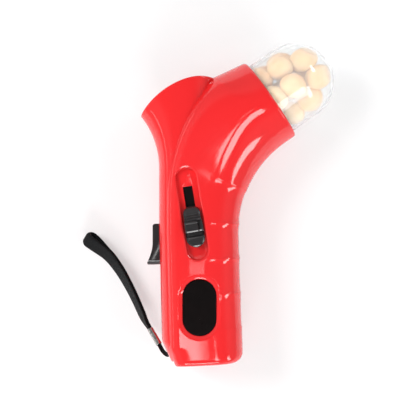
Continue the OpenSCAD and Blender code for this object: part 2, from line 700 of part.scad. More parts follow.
// One bun-shaped treat
module treat() {
    edge = treat_t / 2 - 0.9;
    rotate_extrude($fn = 48) intersection() {
        union() {
            translate([treat_r - edge, 0]) circle(r = edge, $fn = 48);
            translate([0, -treat_t / 2]) square([treat_r - edge, treat_t]);
        }
        translate([0, treat_t / 2 - 22]) circle(r = 22, $fn = 96);
        translate([0, 22 - treat_t / 2]) circle(r = 22, $fn = 96);
        square([2 * treat_r, treat_t], center = true);
        translate([0, -treat_t]) square([treat_r, 2 * treat_t]);
    }
}
module treats() {
    spots = concat(treats_top, treats_low);
    color(cream) placed() on_hopper() scale(heap_grow) for (i = [0:len(spots) - 1]) let(t = spots[i])
        translate([-t.z, t.y, t.x]) rotate([0, 90, 0]) rotate([12 * ((i * 7) % 5 - 2), 10 * ((i * 5) % 4 - 1.5), 0])
            treat();
}

// A tube along points, with rings square to the path
function path_dir(p, i) = unit(p[min(i + 1, len(p) - 1)] - p[max(i - 1, 0)]);
function path_side(d) = unit(cross(d, [0, 0, 1]));
module tube_along(p, r, sides) {
    loft([for (i = [0:len(p) - 1]) let(d = path_dir(p, i), e = path_side(d), g = cross(d, e))
        [for (k = [0:sides - 1]) let(a = 360 * k / sides) p[i] + r * (cos(a) * e + sin(a) * g)]]);
}
module strap_cord() {
    color(black) placed() tube_along(cord_route, cord_r, 8);
}
module strap_crimp() {
    from = cord_route[len(cord_route) - 1];
    d = crimp_end - from;
    color(steel) placed() translate(from) rotate([0, acos(unit(d).z), atan2(d.y, d.x)])
        translate([0, 0, 0.02]) cylinder(r = 2, h = norm(d) - 0.04, $fn = 32);
}
module strap_webbing() {
    p = webbing_route;
    color(black) placed() loft([for (i = [0:len(p) - 1]) let(d = path_dir(p, i), f = i / (len(p) - 1),
        lean = 68 - 34 * f * f, e0 = path_side(d), g0 = cross(e0, d),
        e = sin(lean) * e0 - cos(lean) * g0, g = cos(lean) * e0 + sin(lean) * g0,
        w = webbing_w * min(1, 0.45 + i * 0.3) / 2, t = webbing_t / 2)
        [p[i] + w * g + t * e * 0.6, p[i] + 0.7 * w * g + t * e, p[i] - 0.7 * w * g + t * e, p[i] - w * g + t * e * 0.6,
         p[i] - w * g - t * e * 0.6, p[i] - 0.7 * w * g - t * e, p[i] + 0.7 * w * g - t * e, p[i] + w * g - t * e * 0.6]]);
}

front_shell();
rear_shell();
grip_pad();
launch_barrel();
barrel_end_plug();
feed_funnel();
cup_seal();
casing_screws();
trigger_pin();
strap_pin();
striker();
striker_pad();
slider_stem();
slider_knob();
slider_screw();
dust_strip();
drive_spring();
trigger_lever();
trigger_spring();
treat_cup();
treats();
strap_cord();
strap_crimp();
strap_webbing();
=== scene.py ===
"""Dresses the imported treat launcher: its casing, cup, treats, slider, trigger and wrist strap."""
import math

import bmesh
import bpy
import numpy as np
from bpy.props import FloatProperty, FloatVectorProperty, IntProperty, PointerProperty
from mathutils import Matrix, Vector
from mathutils.bvhtree import BVHTree


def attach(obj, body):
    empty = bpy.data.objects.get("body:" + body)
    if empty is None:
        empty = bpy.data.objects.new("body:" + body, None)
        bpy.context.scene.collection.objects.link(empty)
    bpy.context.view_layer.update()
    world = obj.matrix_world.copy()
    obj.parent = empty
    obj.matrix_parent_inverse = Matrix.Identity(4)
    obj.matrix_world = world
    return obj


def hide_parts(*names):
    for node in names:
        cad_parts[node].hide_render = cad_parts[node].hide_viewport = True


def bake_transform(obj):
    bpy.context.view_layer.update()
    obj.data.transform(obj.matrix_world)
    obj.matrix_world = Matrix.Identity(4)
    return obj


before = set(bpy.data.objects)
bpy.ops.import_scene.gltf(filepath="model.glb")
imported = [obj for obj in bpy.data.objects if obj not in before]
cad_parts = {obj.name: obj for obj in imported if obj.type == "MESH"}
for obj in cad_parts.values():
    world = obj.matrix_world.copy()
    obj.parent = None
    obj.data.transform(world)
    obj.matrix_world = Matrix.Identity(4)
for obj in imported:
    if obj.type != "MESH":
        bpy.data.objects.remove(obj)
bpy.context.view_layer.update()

bl_info = {
    "name": "Treat launcher",
    "version": (1, 0, 0),
    "blender": (4, 5, 0),
    "location": "3D View > Sidebar > Launcher",
    "description": "Builds the looks of a hand-held treat launcher on its packed frame",
    "category": "Object",
}


def tone(hex_value):
    """Linear colour of an sRGB hex value."""
    parts = [int(hex_value[i:i + 2], 16) / 255 for i in (1, 3, 5)]
    return tuple(c / 12.92 if c <= 0.04045 else ((c + 0.055) / 1.055) ** 2.4 for c in parts) + (1.0,)


# ---- the launcher's plan, in millimetres, as its solids have it ----
grip_w, grip_front, grip_back, grip_len = 44.6, 21.5, 25.6, 78.4
grip_lean, strip_w, finger_pitch, finger_depth, wall = 2.2, 3.6, 20.4, 0.5, 2.2
bend_in_r, bend_out_r, hopper_turn, hopper_len, collar_r = 64, 102, math.radians(55), 8, 26.5
cup_r, cup_wall, cup_straight, cup_skirt = 23.4, 1.6, 18, 11
bore_r, barrel_wall, barrel_tilt, muzzle_s, muzzle_step = 10, 1.5, math.radians(9.2), 86, 0.6
flare_r, lip_r, lip_end_r, recess_w, recess_floor = 50, 55.8, 39, 12.6, 17
fire_travel, over_pull, knob_len, knob_w, stem_w, stem_len = 18.6, 3.6, 24.8, 11, 5, 10
trigger_t, trigger_pin_r, trigger_turn, pad_w, pad_len = 9, 1.5, math.radians(9), 19.6, 33.2

grip_left, bend_y, base_tilt, base_round = -25.8, -13.4, 2.2, 3
grip_right, base_y = grip_left + grip_w, bend_y - grip_len
corner_right_r, corner_left_w, corner_left_h = 6, 4, 11
bend_in_c = np.array([grip_right + bend_in_r, bend_y])
bend_out_c = np.array([grip_left + bend_out_r, bend_y + 20.2])
bend_out_turn = math.radians(44.2)
hopper_dir = np.array([math.sin(hopper_turn), math.cos(hopper_turn)])
hopper_side = np.array([-hopper_dir[1], hopper_dir[0]])
in_arc = bend_in_r * hopper_turn
rim_right = (bend_in_c + bend_in_r * np.array([-math.cos(hopper_turn), math.sin(hopper_turn)])
             + hopper_len * hopper_dir)
rim_c, rim_left = rim_right + collar_r * hopper_side, rim_right + 2 * collar_r * hopper_side
out_rise, out_arc = bend_out_c[1] - bend_y, bend_out_r * bend_out_turn
out_end = bend_out_c + bend_out_r * np.array([-math.cos(bend_out_turn), math.sin(bend_out_turn)])
out_total = out_rise + out_arc + float(np.linalg.norm(rim_left - out_end))
bend_run = in_arc + hopper_len
rim_v = bend_y + bend_run
ridge_low, ridge_count = bend_y - 37, 4
ridge_top = ridge_low + (ridge_count - 1) * finger_pitch
strip_left, tube_front, tube_back = grip_left - strip_w, grip_front - 2.2, grip_back - 0.6
mouth_front, tube_base, flare_y = 18.5, base_y + 0.6, 23.6
flare_c, flare_end = np.array([strip_left - flare_r, flare_y]), flare_y + flare_r * math.radians(44)
tube_right, mouth_right = np.array([2, flare_y]), np.array([7, 83.5])
mouth_dir, lip_c, lip_end_c = np.array([-0.47, 0.883, 0]), (6.3, 24.6), (-8, 40)
barrel_c, barrel_r, barrel_s0 = np.array([-6, -25.2]), bore_r + barrel_wall, -38
barrel_dir = np.array([-math.sin(barrel_tilt), math.cos(barrel_tilt)])
funnel_top = cup_skirt + 1.2
knob_s = 2.2
stem_s = knob_s + 7.2
slot_w, slot_s0, slot_s1 = stem_w + 0.6, stem_s - over_pull - 0.4, stem_s + stem_len + fire_travel + 0.4
recess_s0, recess_s1 = knob_s - over_pull - 4.1, knob_s + knob_len + fire_travel + 4.1
strip_z, strip_reach, knob_z0 = recess_floor - 3.7, 22.2, recess_floor + 0.4
striker_s1, spring_r, spring_wire, spring_turns = 36, 5.2, 1.2, 11
trigger_c = np.array([strip_left + 4.8, -12.2])
trigger_foot, trigger_top = trigger_c[1] - 22, trigger_c[1] + 2.8
trigger_room = 10.6 + (trigger_c[1] - trigger_foot) * math.sin(trigger_turn)
return_x, return_y = trigger_c[0] - 1.6, trigger_c[1] - 15.5
barrel_side_x = (barrel_c[0] - (return_y - barrel_c[1]) * math.tan(barrel_tilt)
                 - barrel_r / math.cos(barrel_tilt))
pad_c, pad_deep, pad_thick = np.array([-5, bend_y - 45.2]), 2.4, 1.8
strap_pin_c = (-18.6, base_y + 4.4)
screw_places = [(grip_left + 9, base_y + 12), (grip_right - 7, base_y + 12), (grip_left + 5.2, bend_y - 39),
                (grip_right - 6, bend_y - 21), (grip_right - 9, bend_y + 16),
                tuple(rim_c - 36.2 * hopper_dir - 18.1 * hopper_side)]
head_seat, head_bore_r, screw_hole_r, pin_hole_r, boss_r = 14, 3.1, 1.5, 1.6, 4.3
cut_over, seat_gap, skin_proud = 6, 0.15, 0.012
# The strap's route as its solids have it: the cord out of the casing to the crimp, and the webbing to its tip
cord_route = [(-20.5, -87.4, -1), (-22.4, -87.8, -1.8), (-24.8, -88.4, -4.8), (-27.5, -86.4, -9.2),
              (-29.6, -82.8, -11)]
webbing_route = [(-35.4, -73.4, -15), (-38.9, -67.7, -17.4), (-43.6, -57.4, -19), (-47.6, -49.2, -19.6),
                 (-52.6, -40.2, -20), (-56.8, -34, -20), (-60.4, -29.6, -20), (-65.6, -24.8, -20),
                 (-70.6, -20.6, -20), (-74.4, -18, -20)]
cup_end_c, mouth_left = rim_c + cup_straight * hopper_dir, flare_c[0] + flare_r * math.cos(math.radians(38.7))
# The middle of the launcher, on the table under its collar, is the frame's origin
CENTRE = np.array([(mouth_left + cup_end_c[0] + cup_r) / 2, (base_y - base_tilt / 2 + cup_end_c[1] + cup_r) / 2,
                   -collar_r])
UP = np.array([0, 0, 1.0])
HOPPER_AXIS = (np.append(rim_c, 0), np.append(hopper_dir, 0))
BARREL_AHEAD, BARREL_SIDE = np.append(barrel_dir, 0), np.array([barrel_dir[1], -barrel_dir[0], 0])


def placed(points):
    """Plan millimetres to the row frame in metres."""
    return (np.asarray(points, float) - CENTRE) * 0.001


def on_barrel(s, z=0):
    """The point s millimetres along the barrel's axis."""
    return np.append(barrel_c + barrel_dir * s, z)


def ease(x):
    t = np.clip(x, 0, 1)
    return t * t * (3 - 2 * t)


def across(x, low, high):
    return (x - low) / (high - low)


def unit(v):
    return v / np.linalg.norm(v)


def run_along(line):
    """How far along a line each of its points lies."""
    return np.append(0, np.cumsum(np.linalg.norm(np.diff(line, axis=0), axis=1)))


def circle(steps, shift=0.0):
    t = 2 * np.pi * (np.arange(steps) + shift) / steps
    return np.cos(t), np.sin(t)


def level(flat, z):
    """A flat outline at a height."""
    return np.column_stack([flat, np.full(len(flat), z)])


def hoop(side, up, steps):
    """Points round a unit circle in the plane of two directions."""
    c, s = circle(steps)
    return np.outer(c, side) + np.outer(s, up)


def quarter(radius, count=7, turn=math.pi / 2):
    """(back along the skin, in from it) down a rounded edge, from the skin to the end face."""
    return [(radius * (1 - math.sin(a)), radius * (1 - math.cos(a))) for a in np.linspace(0, turn, count)]


# ---- mesh tools ----
def mesh_object(name, points, faces, slots=2, part=0, world=True):
    """A smooth mesh object from plan points, whose faces take slot number part."""
    mesh = bpy.data.meshes.new(name)
    mesh.from_pydata((placed(points) if world else np.asarray(points, float)).tolist(), [], faces)
    mesh.validate()
    piece = bpy.data.objects.new(name, mesh)
    bpy.context.scene.collection.objects.link(piece)
    for blank in [f"unset_{i}" for i in range(slots)]:
        mesh.materials.append(bpy.data.materials.get(blank) or bpy.data.materials.new(blank))
    mesh.polygons.foreach_set("material_index", np.full(len(mesh.polygons), part, np.int32))
    mesh.polygons.foreach_set("use_smooth", np.ones(len(mesh.polygons), bool))
    return piece


def dropped(piece):
    mesh = piece.data
    bpy.data.objects.remove(piece)
    bpy.data.meshes.remove(mesh)


def loft(name, rings, part=0, caps=True, world=True):
    """A closed skin through rings of the same number of points, facing outwards."""
    rings = np.asarray(rings, float)
    n, m = rings.shape[:2]
    k, i = np.arange(n - 1)[:, None] * m, np.arange(m)[None, :]
    j = (i + 1) % m
    quads = np.stack([k + i, k + j, k + m + j, k + m + i], -1).reshape(-1, 4)
    flat = rings.reshape(-1, 3)
    a, b, c, d = (flat[quads[:, q]] for q in range(4))
    volume = (np.einsum("ij,ij->i", a, np.cross(b, c)) + np.einsum("ij,ij->i", a, np.cross(c, d))).sum()
    faces = quads.tolist()
    if caps:
        faces += [list(range(m))[::-1], list(range((n - 1) * m, n * m))]
        for ring, sign in ((rings[0], -1), (rings[-1], 1)):
            volume += sign * (np.cross(ring[1:-1], ring[2:]) @ ring[0]).sum()
    if volume < 0:
        faces = [f[::-1] for f in faces]
    return mesh_object(name, flat, faces, part=part, world=world)


def settled(piece):
    """Turns a piece's modifiers into plain mesh."""
    bpy.context.view_layer.update()
    mesh = bpy.data.meshes.new_from_object(piece.evaluated_get(bpy.context.evaluated_depsgraph_get()))
    old, name = piece.data, piece.data.name
    piece.modifiers.clear()
    piece.data = mesh
    bpy.data.meshes.remove(old)
    mesh.name = name
    if not len(mesh.polygons):
        raise RuntimeError(f"{piece.name} came out empty")


def carve(piece, tool, how="DIFFERENCE", keep=False):
    change = piece.modifiers.new(tool.name, "BOOLEAN")
    change.object, change.operation, change.solver, change.material_mode = tool, how, "MANIFOLD", "INDEX"
    settled(piece)
    if not keep:
        dropped(tool)


def tidied(piece, outwards=False):
    """Joins a mesh's doubled points, and turns its faces outwards where it can be inside out."""
    bm = bmesh.new()
    bm.from_mesh(piece.data)
    bmesh.ops.remove_doubles(bm, verts=bm.verts, dist=1e-6)
    if outwards:
        bmesh.ops.dissolve_degenerate(bm, edges=bm.edges, dist=1e-7)
        bmesh.ops.recalc_face_normals(bm, faces=bm.faces)
    bm.to_mesh(piece.data)
    bm.free()


def shaded(piece, angle):
    """Smooth faces, with sharp edges past an angle in degrees."""
    mesh = piece.data
    mesh.polygons.foreach_set("use_smooth", np.ones(len(mesh.polygons), bool))
    mesh.set_sharp_from_angle(angle=math.radians(angle))


def solid_box(name, low, high, origin=(0, 0), turn=0.0):
    """A box in plan millimetres, turned about origin."""
    (x0, y0, z0), (x1, y1, z1) = low, high
    c, s = math.cos(turn), math.sin(turn)
    flat = [(x0, y0), (x1, y0), (x1, y1), (x0, y1)]
    ring = [(origin[0] + c * x - s * y, origin[1] + s * x + c * y) for x, y in flat]
    return loft(name, [[(x, y, z) for x, y in ring] for z in (z0, z1)], 1)


def turned(name, profile, origin, axis, steps=96, part=1, caps=True):
    """A solid turned from (radius, height) points that start and end on the axis or close on themselves."""
    axis = unit(np.asarray(axis, float))
    side = unit(np.cross(axis, (0, 0, 1) if abs(axis[2]) < 0.9 else (1, 0, 0)))
    ring = hoop(side, np.cross(axis, side), steps)
    return loft(name, [np.asarray(origin) + axis * h + ring * max(r, 1e-4) for r, h in profile], part, caps)


def bar(name, radius, start, end, steps=32):
    start, end = np.asarray(start, float), np.asarray(end, float)
    return turned(name, [(radius, 0), (radius, float(np.linalg.norm(end - start)))], start, end - start, steps)


def uprights(name, radius, places, low, high, steps):
    """Bars along z at several plan places, as one object."""
    return joined(name, [bar("upright", radius, (*p, low), (*p, high), steps) for p in places])


def joined(name, pieces):
    """Separate solids as one object."""
    points, faces, start = [], [], 0
    for piece in pieces:
        points.append(read(piece.data.vertices, "co"))
        faces += [[v + start for v in p.vertices] for p in piece.data.polygons]
        start += len(points[-1])
        part = piece.data.polygons[0].material_index
        dropped(piece)
    return mesh_object(name, np.concatenate(points), faces, part=part, world=False)


def read(items, attribute, kind=float):
    """The three numbers of an attribute for each item of a mesh."""
    values = np.zeros(len(items) * 3, kind)
    items.foreach_get(attribute, values)
    return values.reshape(-1, 3)


def bvh(piece):
    mesh = piece.data
    mesh.calc_loop_triangles()
    co, tris = read(mesh.vertices, "co"), read(mesh.loop_triangles, "vertices", np.int32)
    return BVHTree.FromPolygons(co.tolist(), tris.tolist()), co, tris, read(mesh.vertex_normals, "vector")


# ---- the casing's plan ----
def lean(v):
    return grip_lean * max(0, across(v, bend_y, base_y))


def edge_back(h, r):
    return 0 if h >= r else r - math.sqrt(r * r - (r - max(h, 0)) ** 2)


def on_arc(centre, radius, a):
    return centre + radius * np.array([-math.cos(a), math.sin(a)])


def main_right(v):
    if v <= bend_y:
        return np.array([grip_right + lean(v), v])
    if v <= bend_y + in_arc:
        return on_arc(bend_in_c, bend_in_r, (v - bend_y) / bend_in_r)
    return rim_right - (rim_v - v) * hopper_dir


def main_left(v):
    if v <= bend_y:
        return np.array([grip_left + lean(v), v - base_tilt * max(0, across(v, bend_y, base_y))])
    d = (v - bend_y) / bend_run * out_total
    if d <= out_rise:
        return np.array([grip_left, bend_y + d])
    if d <= out_rise + out_arc:
        return on_arc(bend_out_c, bend_out_r, (d - out_rise) / bend_out_r)
    return out_end + (d - out_rise - out_arc) * unit(rim_left - out_end)


def finger_hollow(v):
    """How far the right edge is drawn in at height v. The hollow below the lowest ridge is shallower."""
    n = (v - ridge_low) / finger_pitch
    q = n - math.floor(n + 1e-9)
    if n < -1 or n >= ridge_count - 1:
        return 0
    return (0.6 if n < -1e-9 else 1) * finger_depth * (1 - abs(2 * q - 1) ** 6)


def section(left, right, front, back, n_left, n_right, steps):
    """A closed section between two edges. Each side is a superellipse with its own exponent."""
    centre, half, along = (left + right) / 2, np.linalg.norm(left - right) / 2, unit(left - right)
    u, w = circle(steps, 0.5)
    n, b = np.where(u > 0, n_left, n_right), np.where(w > 0, front, back)
    r = ((abs(u) / half) ** n + (abs(w) / b) ** n) ** (-1 / n)
    return np.stack([centre[0] + along[0] * r * u, centre[1] + along[1] * r * u, r * w], -1)


def main_section(v, inset, steps):
    h, f = v - base_y - inset, across(v, bend_y, rim_v)
    left, right = main_left(v), main_right(v)
    e = unit(left - right)
    chamfer = corner_left_w * max(0, 1 - h / corner_left_h)
    hollow = 0 if inset > 1 else finger_hollow(v)
    back_off = inset + edge_back(h, base_round)
    round_left, round_right = ease(across(f, 0.5, 0.96)), ease(across(f, 0.1, 0.8))
    ring = section(left - e * (inset + chamfer), right + e * (inset + edge_back(h, corner_right_r) + hollow),
                   grip_front + (collar_r - grip_front) * ease(across(f, 0.25, 0.95)) - back_off,
                   grip_back + (collar_r - grip_back) * ease(f) - back_off,
                   5 - 3 * round_left, 3.2 - 1.2 * round_right, steps)
    if hollow:
        # The hollows run on over the front as shallow waves that fade towards the middle
        x = np.clip(((ring[:, :2] - (left + right) / 2) @ -e) / (np.linalg.norm(left - right) / 2), 0, 1)
        ring[:, 2] -= np.where(ring[:, 2] > 0, 1.1 * hollow * ease(x * 1.5), 0)
    return ring


def tube_section(v, inset, steps):
    h, f = v - tube_base - inset, max(0, across(v, flare_y, flare_end))
    if v <= flare_y:
        left, right = np.array([strip_left + lean(v), v]), np.array([tube_right[0], v])
    else:
        left = on_arc(flare_c, -flare_r, (flare_y - v) / flare_r)
        right = tube_right + f * (mouth_right - tube_right)
    e, chamfer, wide = unit(left - right), 5 * max(0, 1 - h / 12), ease(f)
    back_off = inset + edge_back(h, base_round)
    return section(left - e * (inset + chamfer), right + e * inset,
                   tube_front + (mouth_front - tube_front) * wide - back_off,
                   tube_back + (mouth_front + 3.5 - tube_back) * wide - back_off,
                   3 - 0.8 * wide, 3 - 0.8 * wide, steps)


def to_lip(path, back):
    """Which fractional ring each long line of path, (rings, points, 3), has where it comes to back behind
    the lip. The lip's two circles run into each other smoothly."""
    melt, mouth_from = 1.2, 30
    slant, end = (np.hypot(path[..., 0] - c[0], path[..., 1] - c[1]) - r
                  for c, r in ((lip_c, lip_r), (lip_end_c, lip_end_r)))
    far = melt * np.logaddexp(slant / melt, end / melt) + back
    first = np.argmax((far > 0) & (path[..., 1] > mouth_from), 0)
    i = np.arange(path.shape[1])
    before, after = far[first - 1, i], far[first, i]
    return first - 1 + before / (before - after)


def at(path, where):
    """The ring of points at a fractional ring number for each long line."""
    low = np.clip(np.floor(where).astype(int), 0, len(path) - 2)
    i, f = np.arange(path.shape[1]), (where - low)[:, None]
    return path[low, i] * (1 - f) + path[low + 1, i] * f


def to_mouth(start, end, steps, beyond):
    """Rings from a start to an end, in so many steps, and on past the end in the mouth's direction."""
    rings = [start + (end - start) * f for f in np.linspace(0, 1, steps)]
    return np.array(rings + [end + d * mouth_dir for d in np.linspace(1, beyond, beyond)])


def tube_lines(inset, steps):
    rings = [tube_section(v, inset, steps) for v in np.linspace(flare_y - 4, flare_end, 50)]
    return np.concatenate([rings[:-1], to_mouth(rings[-1], rings[-1], 1, 24)])


def tube_skin(steps, lip_round):
    low = [tube_base + rise for _, rise in quarter(base_round, 8)]
    rings = [tube_section(v, 0, steps) for v in low + list(np.linspace(tube_base + 3.8, flare_y - 5, 100))]
    lines = tube_lines(0, steps)
    end = to_lip(lines, lip_round)
    rings += [at(lines, end * f) for f in np.linspace(0, 1, 70)]
    for back, inset in quarter(lip_round)[1:] + [(0, inset) for inset in (lip_round + 2, 6, 10, 14, 17)]:
        inner = tube_lines(inset, steps)
        rings.append(at(inner, to_lip(inner, back)))
    return rings


def main_skin(steps, rim_round):
    first = ridge_low - finger_pitch
    low = [rise for _, rise in quarter(base_round, 9)] + [3.8, 4.6, 5.3, 6, 7, 8, 9, 10, 11, 11.5, 12.5]
    near = [0, 0.2, 0.5, 1, 1.7, 2.6, 3.8, 5.4, 7.6]
    ridge = near + [10.2] + [finger_pitch - q for q in near[:0:-1]]
    heights = [base_y + h for h in low] + list(np.linspace(base_y + 13.5, first - 1, 11))
    heights += [first + i * finger_pitch + d for i in range(ridge_count) for d in ridge]
    heights += list(np.linspace(ridge_top, rim_v - rim_round, 62))
    rings = [main_section(v, 0, steps) for v in heights]
    for back, inset in quarter(rim_round)[1:]:
        ring = main_section(rim_v - back, 0, steps)
        middle = ring.mean(0)
        rings.append(middle + (ring - middle) * (1 - inset / collar_r))
    return rings


def barrel_ring(s, r, steps):
    """A ring about the barrel's axis, with its points where a section has them."""
    u, w = circle(steps, 0.5)
    return on_barrel(s) + np.outer(r * u, -BARREL_SIDE) + np.outer(r * w, UP)


def mouth_bell(steps, edge_round):
    """The bell from the barrel's end to the lip, rounded over at the lip."""
    def lines(grow):
        wide = tube_section(flare_end, wall - grow, steps) + 2 * mouth_dir
        return to_mouth(barrel_ring(muzzle_s - 1.5, bore_r + muzzle_step, steps), wide, 24, 22)

    path = lines(0)
    end = to_lip(path, edge_round)
    rings = [at(path, end * f) for f in np.linspace(0, 1, 30)]
    for back, grow in quarter(edge_round)[1:] + [(past, edge_round + 0.02) for past in (-0.02, -10)]:
        path = lines(grow)
        rings.append(at(path, to_lip(path, back)))
    return loft("mouth_bell", rings, 1)


def outline_oval(width, length, steps=28):
    """A round-ended outline about the origin and its outward normals."""
    t = np.linspace(0, math.pi, steps)
    top = np.stack([np.cos(t), np.sin(t)], -1)
    normals = np.concatenate([top, -top])
    shift = np.repeat([[0, (length - width) / 2], [0, (width - length) / 2]], steps, 0)
    return normals * width / 2 + shift, normals


def outline_box(width, length, corner, steps=6):
    """A box outline with round corners about the origin and its outward normals."""
    a = np.concatenate([np.linspace(q, q + 1, steps) for q in range(4)]) * math.pi / 2
    normals = np.stack([np.cos(a), np.sin(a)], -1)
    corners = np.repeat([[1, 1], [-1, 1], [-1, -1], [1, -1]], steps, 0)
    return corners * (np.array([width, length]) / 2 - corner) + normals * corner, normals


def finely(outline, normals, step):
    """The outline with its straight runs cut into short steps."""
    points, ways = [], []
    for p, q, n, o in zip(outline, np.roll(outline, -1, 0), normals, np.roll(normals, -1, 0)):
        count = max(1, round(float(np.linalg.norm(q - p)) / step))
        points += [p + (q - p) * k / count for k in range(count)]
        ways += [unit(n + (o - n) * k / count) for k in range(count)]
    return np.array(points), np.array(ways)


def pocket(name, shape, origin, u, v, w, floor, skin, edge, foot=0.0):
    """A cutter down to height floor along w. Its wall rounds over into the skin, and edge lists how far
    out and how far below the skin it runs. skin gives the height of the casing at plan points."""
    outline, normals = shape
    origin, u, v, w = (np.asarray(q, float) for q in (origin, u, v, w))

    def spot(out):
        flat = outline + normals * out
        return origin + flat[:, :1] * u + flat[:, 1:] * v

    rings = [spot(-foot - 0.5) + w * floor] if foot else []
    rings += [spot(-inset) + w * (floor + rise) for inset, rise in quarter(foot, 5 if foot else 1)]
    for out, below in edge + [(edge[-1][0], -cut_over)]:
        p = spot(out)
        rings.append(p + (skin(p, w) - below)[:, None] * w)
    return loft(name, rings, 1)


def height_on(tree):
    """A function that gives the casing's height along w over points, by rays from outside."""
    outside = 60

    def height(points, w):
        found, last = [], None
        for p in points:
            start = Vector(placed(p + w * outside))
            hit = tree.ray_cast(start, Vector(-w))[0]
            if hit is not None:
                last = outside - (hit - start).length * 1000
            found.append(last)
        known = [f for f in found if f is not None]
        return np.array([known[0] if f is None else f for f in found])
    return height


def rounded(radius):
    """Edge list of a pocket whose rim is rounded with this radius, and ends just proud of the skin."""
    return [(out, below) for below, out in quarter(radius)][:-1] + [(radius, -skin_proud)]


def skin_normals(piece, lofts):
    """Smooth faces everywhere, with the outer skin shaded as its uncut forms are."""
    shaded(piece, 32)
    wrong_side, alike = 0.0005, 0.8
    mesh = piece.data
    normals = read(mesh.corner_normals, "vector")
    for polygon in mesh.polygons:
        if polygon.material_index:
            continue
        centre, facing = polygon.center, polygon.normal

        def distance(skin):
            _, normal, _, far = skin[0].find_nearest(centre)
            return (far or 0) + (wrong_side if normal.dot(facing) < 0.5 else 0)

        tree, co, tris, vertex_normals = min(lofts, key=distance)
        for loop in polygon.loop_indices:
            hit, _, index, _ = tree.find_nearest(mesh.vertices[mesh.loops[loop].vertex_index].co)
            n = corner_shares(np.array(hit), *co[tris[index]]) @ vertex_normals[tris[index]]
            if n @ facing > alike:
                normals[loop] = unit(n)
    mesh.normals_split_custom_set(normals.tolist())


def corner_shares(p, a, b, c):
    """Shares of the three corners in a point of their triangle."""
    v0, v1, v2 = b - a, c - a, p - a
    d00, d01, d11, d20, d21 = v0 @ v0, v0 @ v1, v1 @ v1, v2 @ v0, v2 @ v1
    det = d00 * d11 - d01 * d01
    if abs(det) < 1e-22:
        return np.array([1, 0, 0])
    v, w = (d11 * d20 - d01 * d21) / det, (d00 * d21 - d01 * d20) / det
    return np.array([1 - v - w, v, w])


# ---- finishes ----
def add(tree, kind, inputs=(), out=0, **settings):
    """Adds a node and returns one of its outputs. An input is a value, or another node's output to link."""
    n = tree.nodes.new(kind)
    for key, value in settings.items():
        setattr(n, key, value)
    for key, value in dict(inputs).items():
        if isinstance(value, bpy.types.NodeSocket):
            tree.links.new(value, n.inputs[key])
        else:
            n.inputs[key].default_value = value
    return n.outputs[out] if len(n.outputs) else None


def grain(tree, size_mm, detail=2.0):
    """Soft noise fixed to the piece, with blotches about size_mm across."""
    spot = add(tree, "ShaderNodeTexCoord", out="Object")
    return add(tree, "ShaderNodeTexNoise", {"Vector": spot, "Scale": 1000 / size_mm, "Detail": detail})


def mottled(tree, size_mm, low, high, detail=2.0):
    """A value that wanders between low and high in blotches."""
    noise = grain(tree, size_mm, detail)
    return add(tree, "ShaderNodeMapRange", {"Value": noise, "From Min": 0.3, "From Max": 0.7,
                                            "To Min": low, "To Max": high})


def relief(tree, size_mm, depth_mm, detail=3.0, under=None):
    """A surface with fine dents, laid over another bump."""
    below = {} if under is None else {"Normal": under}
    return add(tree, "ShaderNodeBump", {"Height": grain(tree, size_mm, detail), "Distance": depth_mm / 1000,
                                        "Strength": 1.0, **below})


def coat(tree, share, colour, shade, inputs):
    """A surface whose colour runs between two tones by share."""
    tint = add(tree, "ShaderNodeMix", {0: share, 6: colour, 7: shade}, 2, data_type="RGBA")
    return add(tree, "ShaderNodeBsdfPrincipled", {"Base Color": tint, **inputs})


def new_material(name, maker, *values, **sizes):
    """A material whose surface is what maker adds to its node tree."""
    material = bpy.data.materials.new(name)
    material.use_nodes = True
    tree = material.node_tree
    tree.nodes.clear()
    add(tree, "ShaderNodeOutputMaterial", {"Surface": maker(tree, *values, **sizes)})
    return material


def look(name):
    """A finish by name, made once from the panel's colours."""
    maker, tones, sizes = FINISHES[name]
    colours = [getattr(bpy.context.scene.launcher_colours, t) for t in tones.split()]
    return bpy.data.materials.get(name) or new_material(name, maker, *colours, **sizes)


def plastic(tree, colour, shade, rough, grain_mm, depth_mm, ior, blotch_mm, gloss_level=0.5):
    """Moulded plastic: even colour with faint flow blotches and the tool's fine grain."""
    return coat(tree, mottled(tree, blotch_mm, 0, 1), colour, shade, {
        "Roughness": mottled(tree, blotch_mm / 3, rough * 0.85, rough * 1.2, 3),
        "Normal": relief(tree, grain_mm, depth_mm), "IOR": ior, "Specular IOR Level": gloss_level})


def metal(tree, colour, shade, rough, line_mm, depth_mm):
    """Plated or drawn metal: fine marks from drawing or tumbling, and slightly uneven gloss."""
    return coat(tree, mottled(tree, 2.5, 0, 1), colour, shade, {
        "Roughness": mottled(tree, line_mm, rough * 0.7, rough * 1.35, 4),
        "Normal": relief(tree, line_mm, depth_mm, 4), "Metallic": 1.0})


def clear_plastic(tree, colour):
    """Clear polystyrene: sees through with a bright edge; lamps reach the treats inside it."""
    glass = add(tree, "ShaderNodeBsdfPrincipled", {
        "Base Color": colour, "Roughness": mottled(tree, 14, 0.07, 0.12, 3),
        "Normal": relief(tree, 9, 0.003, 2), "IOR": 1.49, "Transmission Weight": 0.88,
        "Sheen Weight": 1.0, "Sheen Roughness": 0.4})
    shadow = add(tree, "ShaderNodeLightPath", out="Is Shadow Ray")
    shade = add(tree, "ShaderNodeBsdfTransparent", {"Color": (0.94, 0.95, 0.96, 1)})
    return add(tree, "ShaderNodeMixShader", {0: shadow, 1: glass, 2: shade})


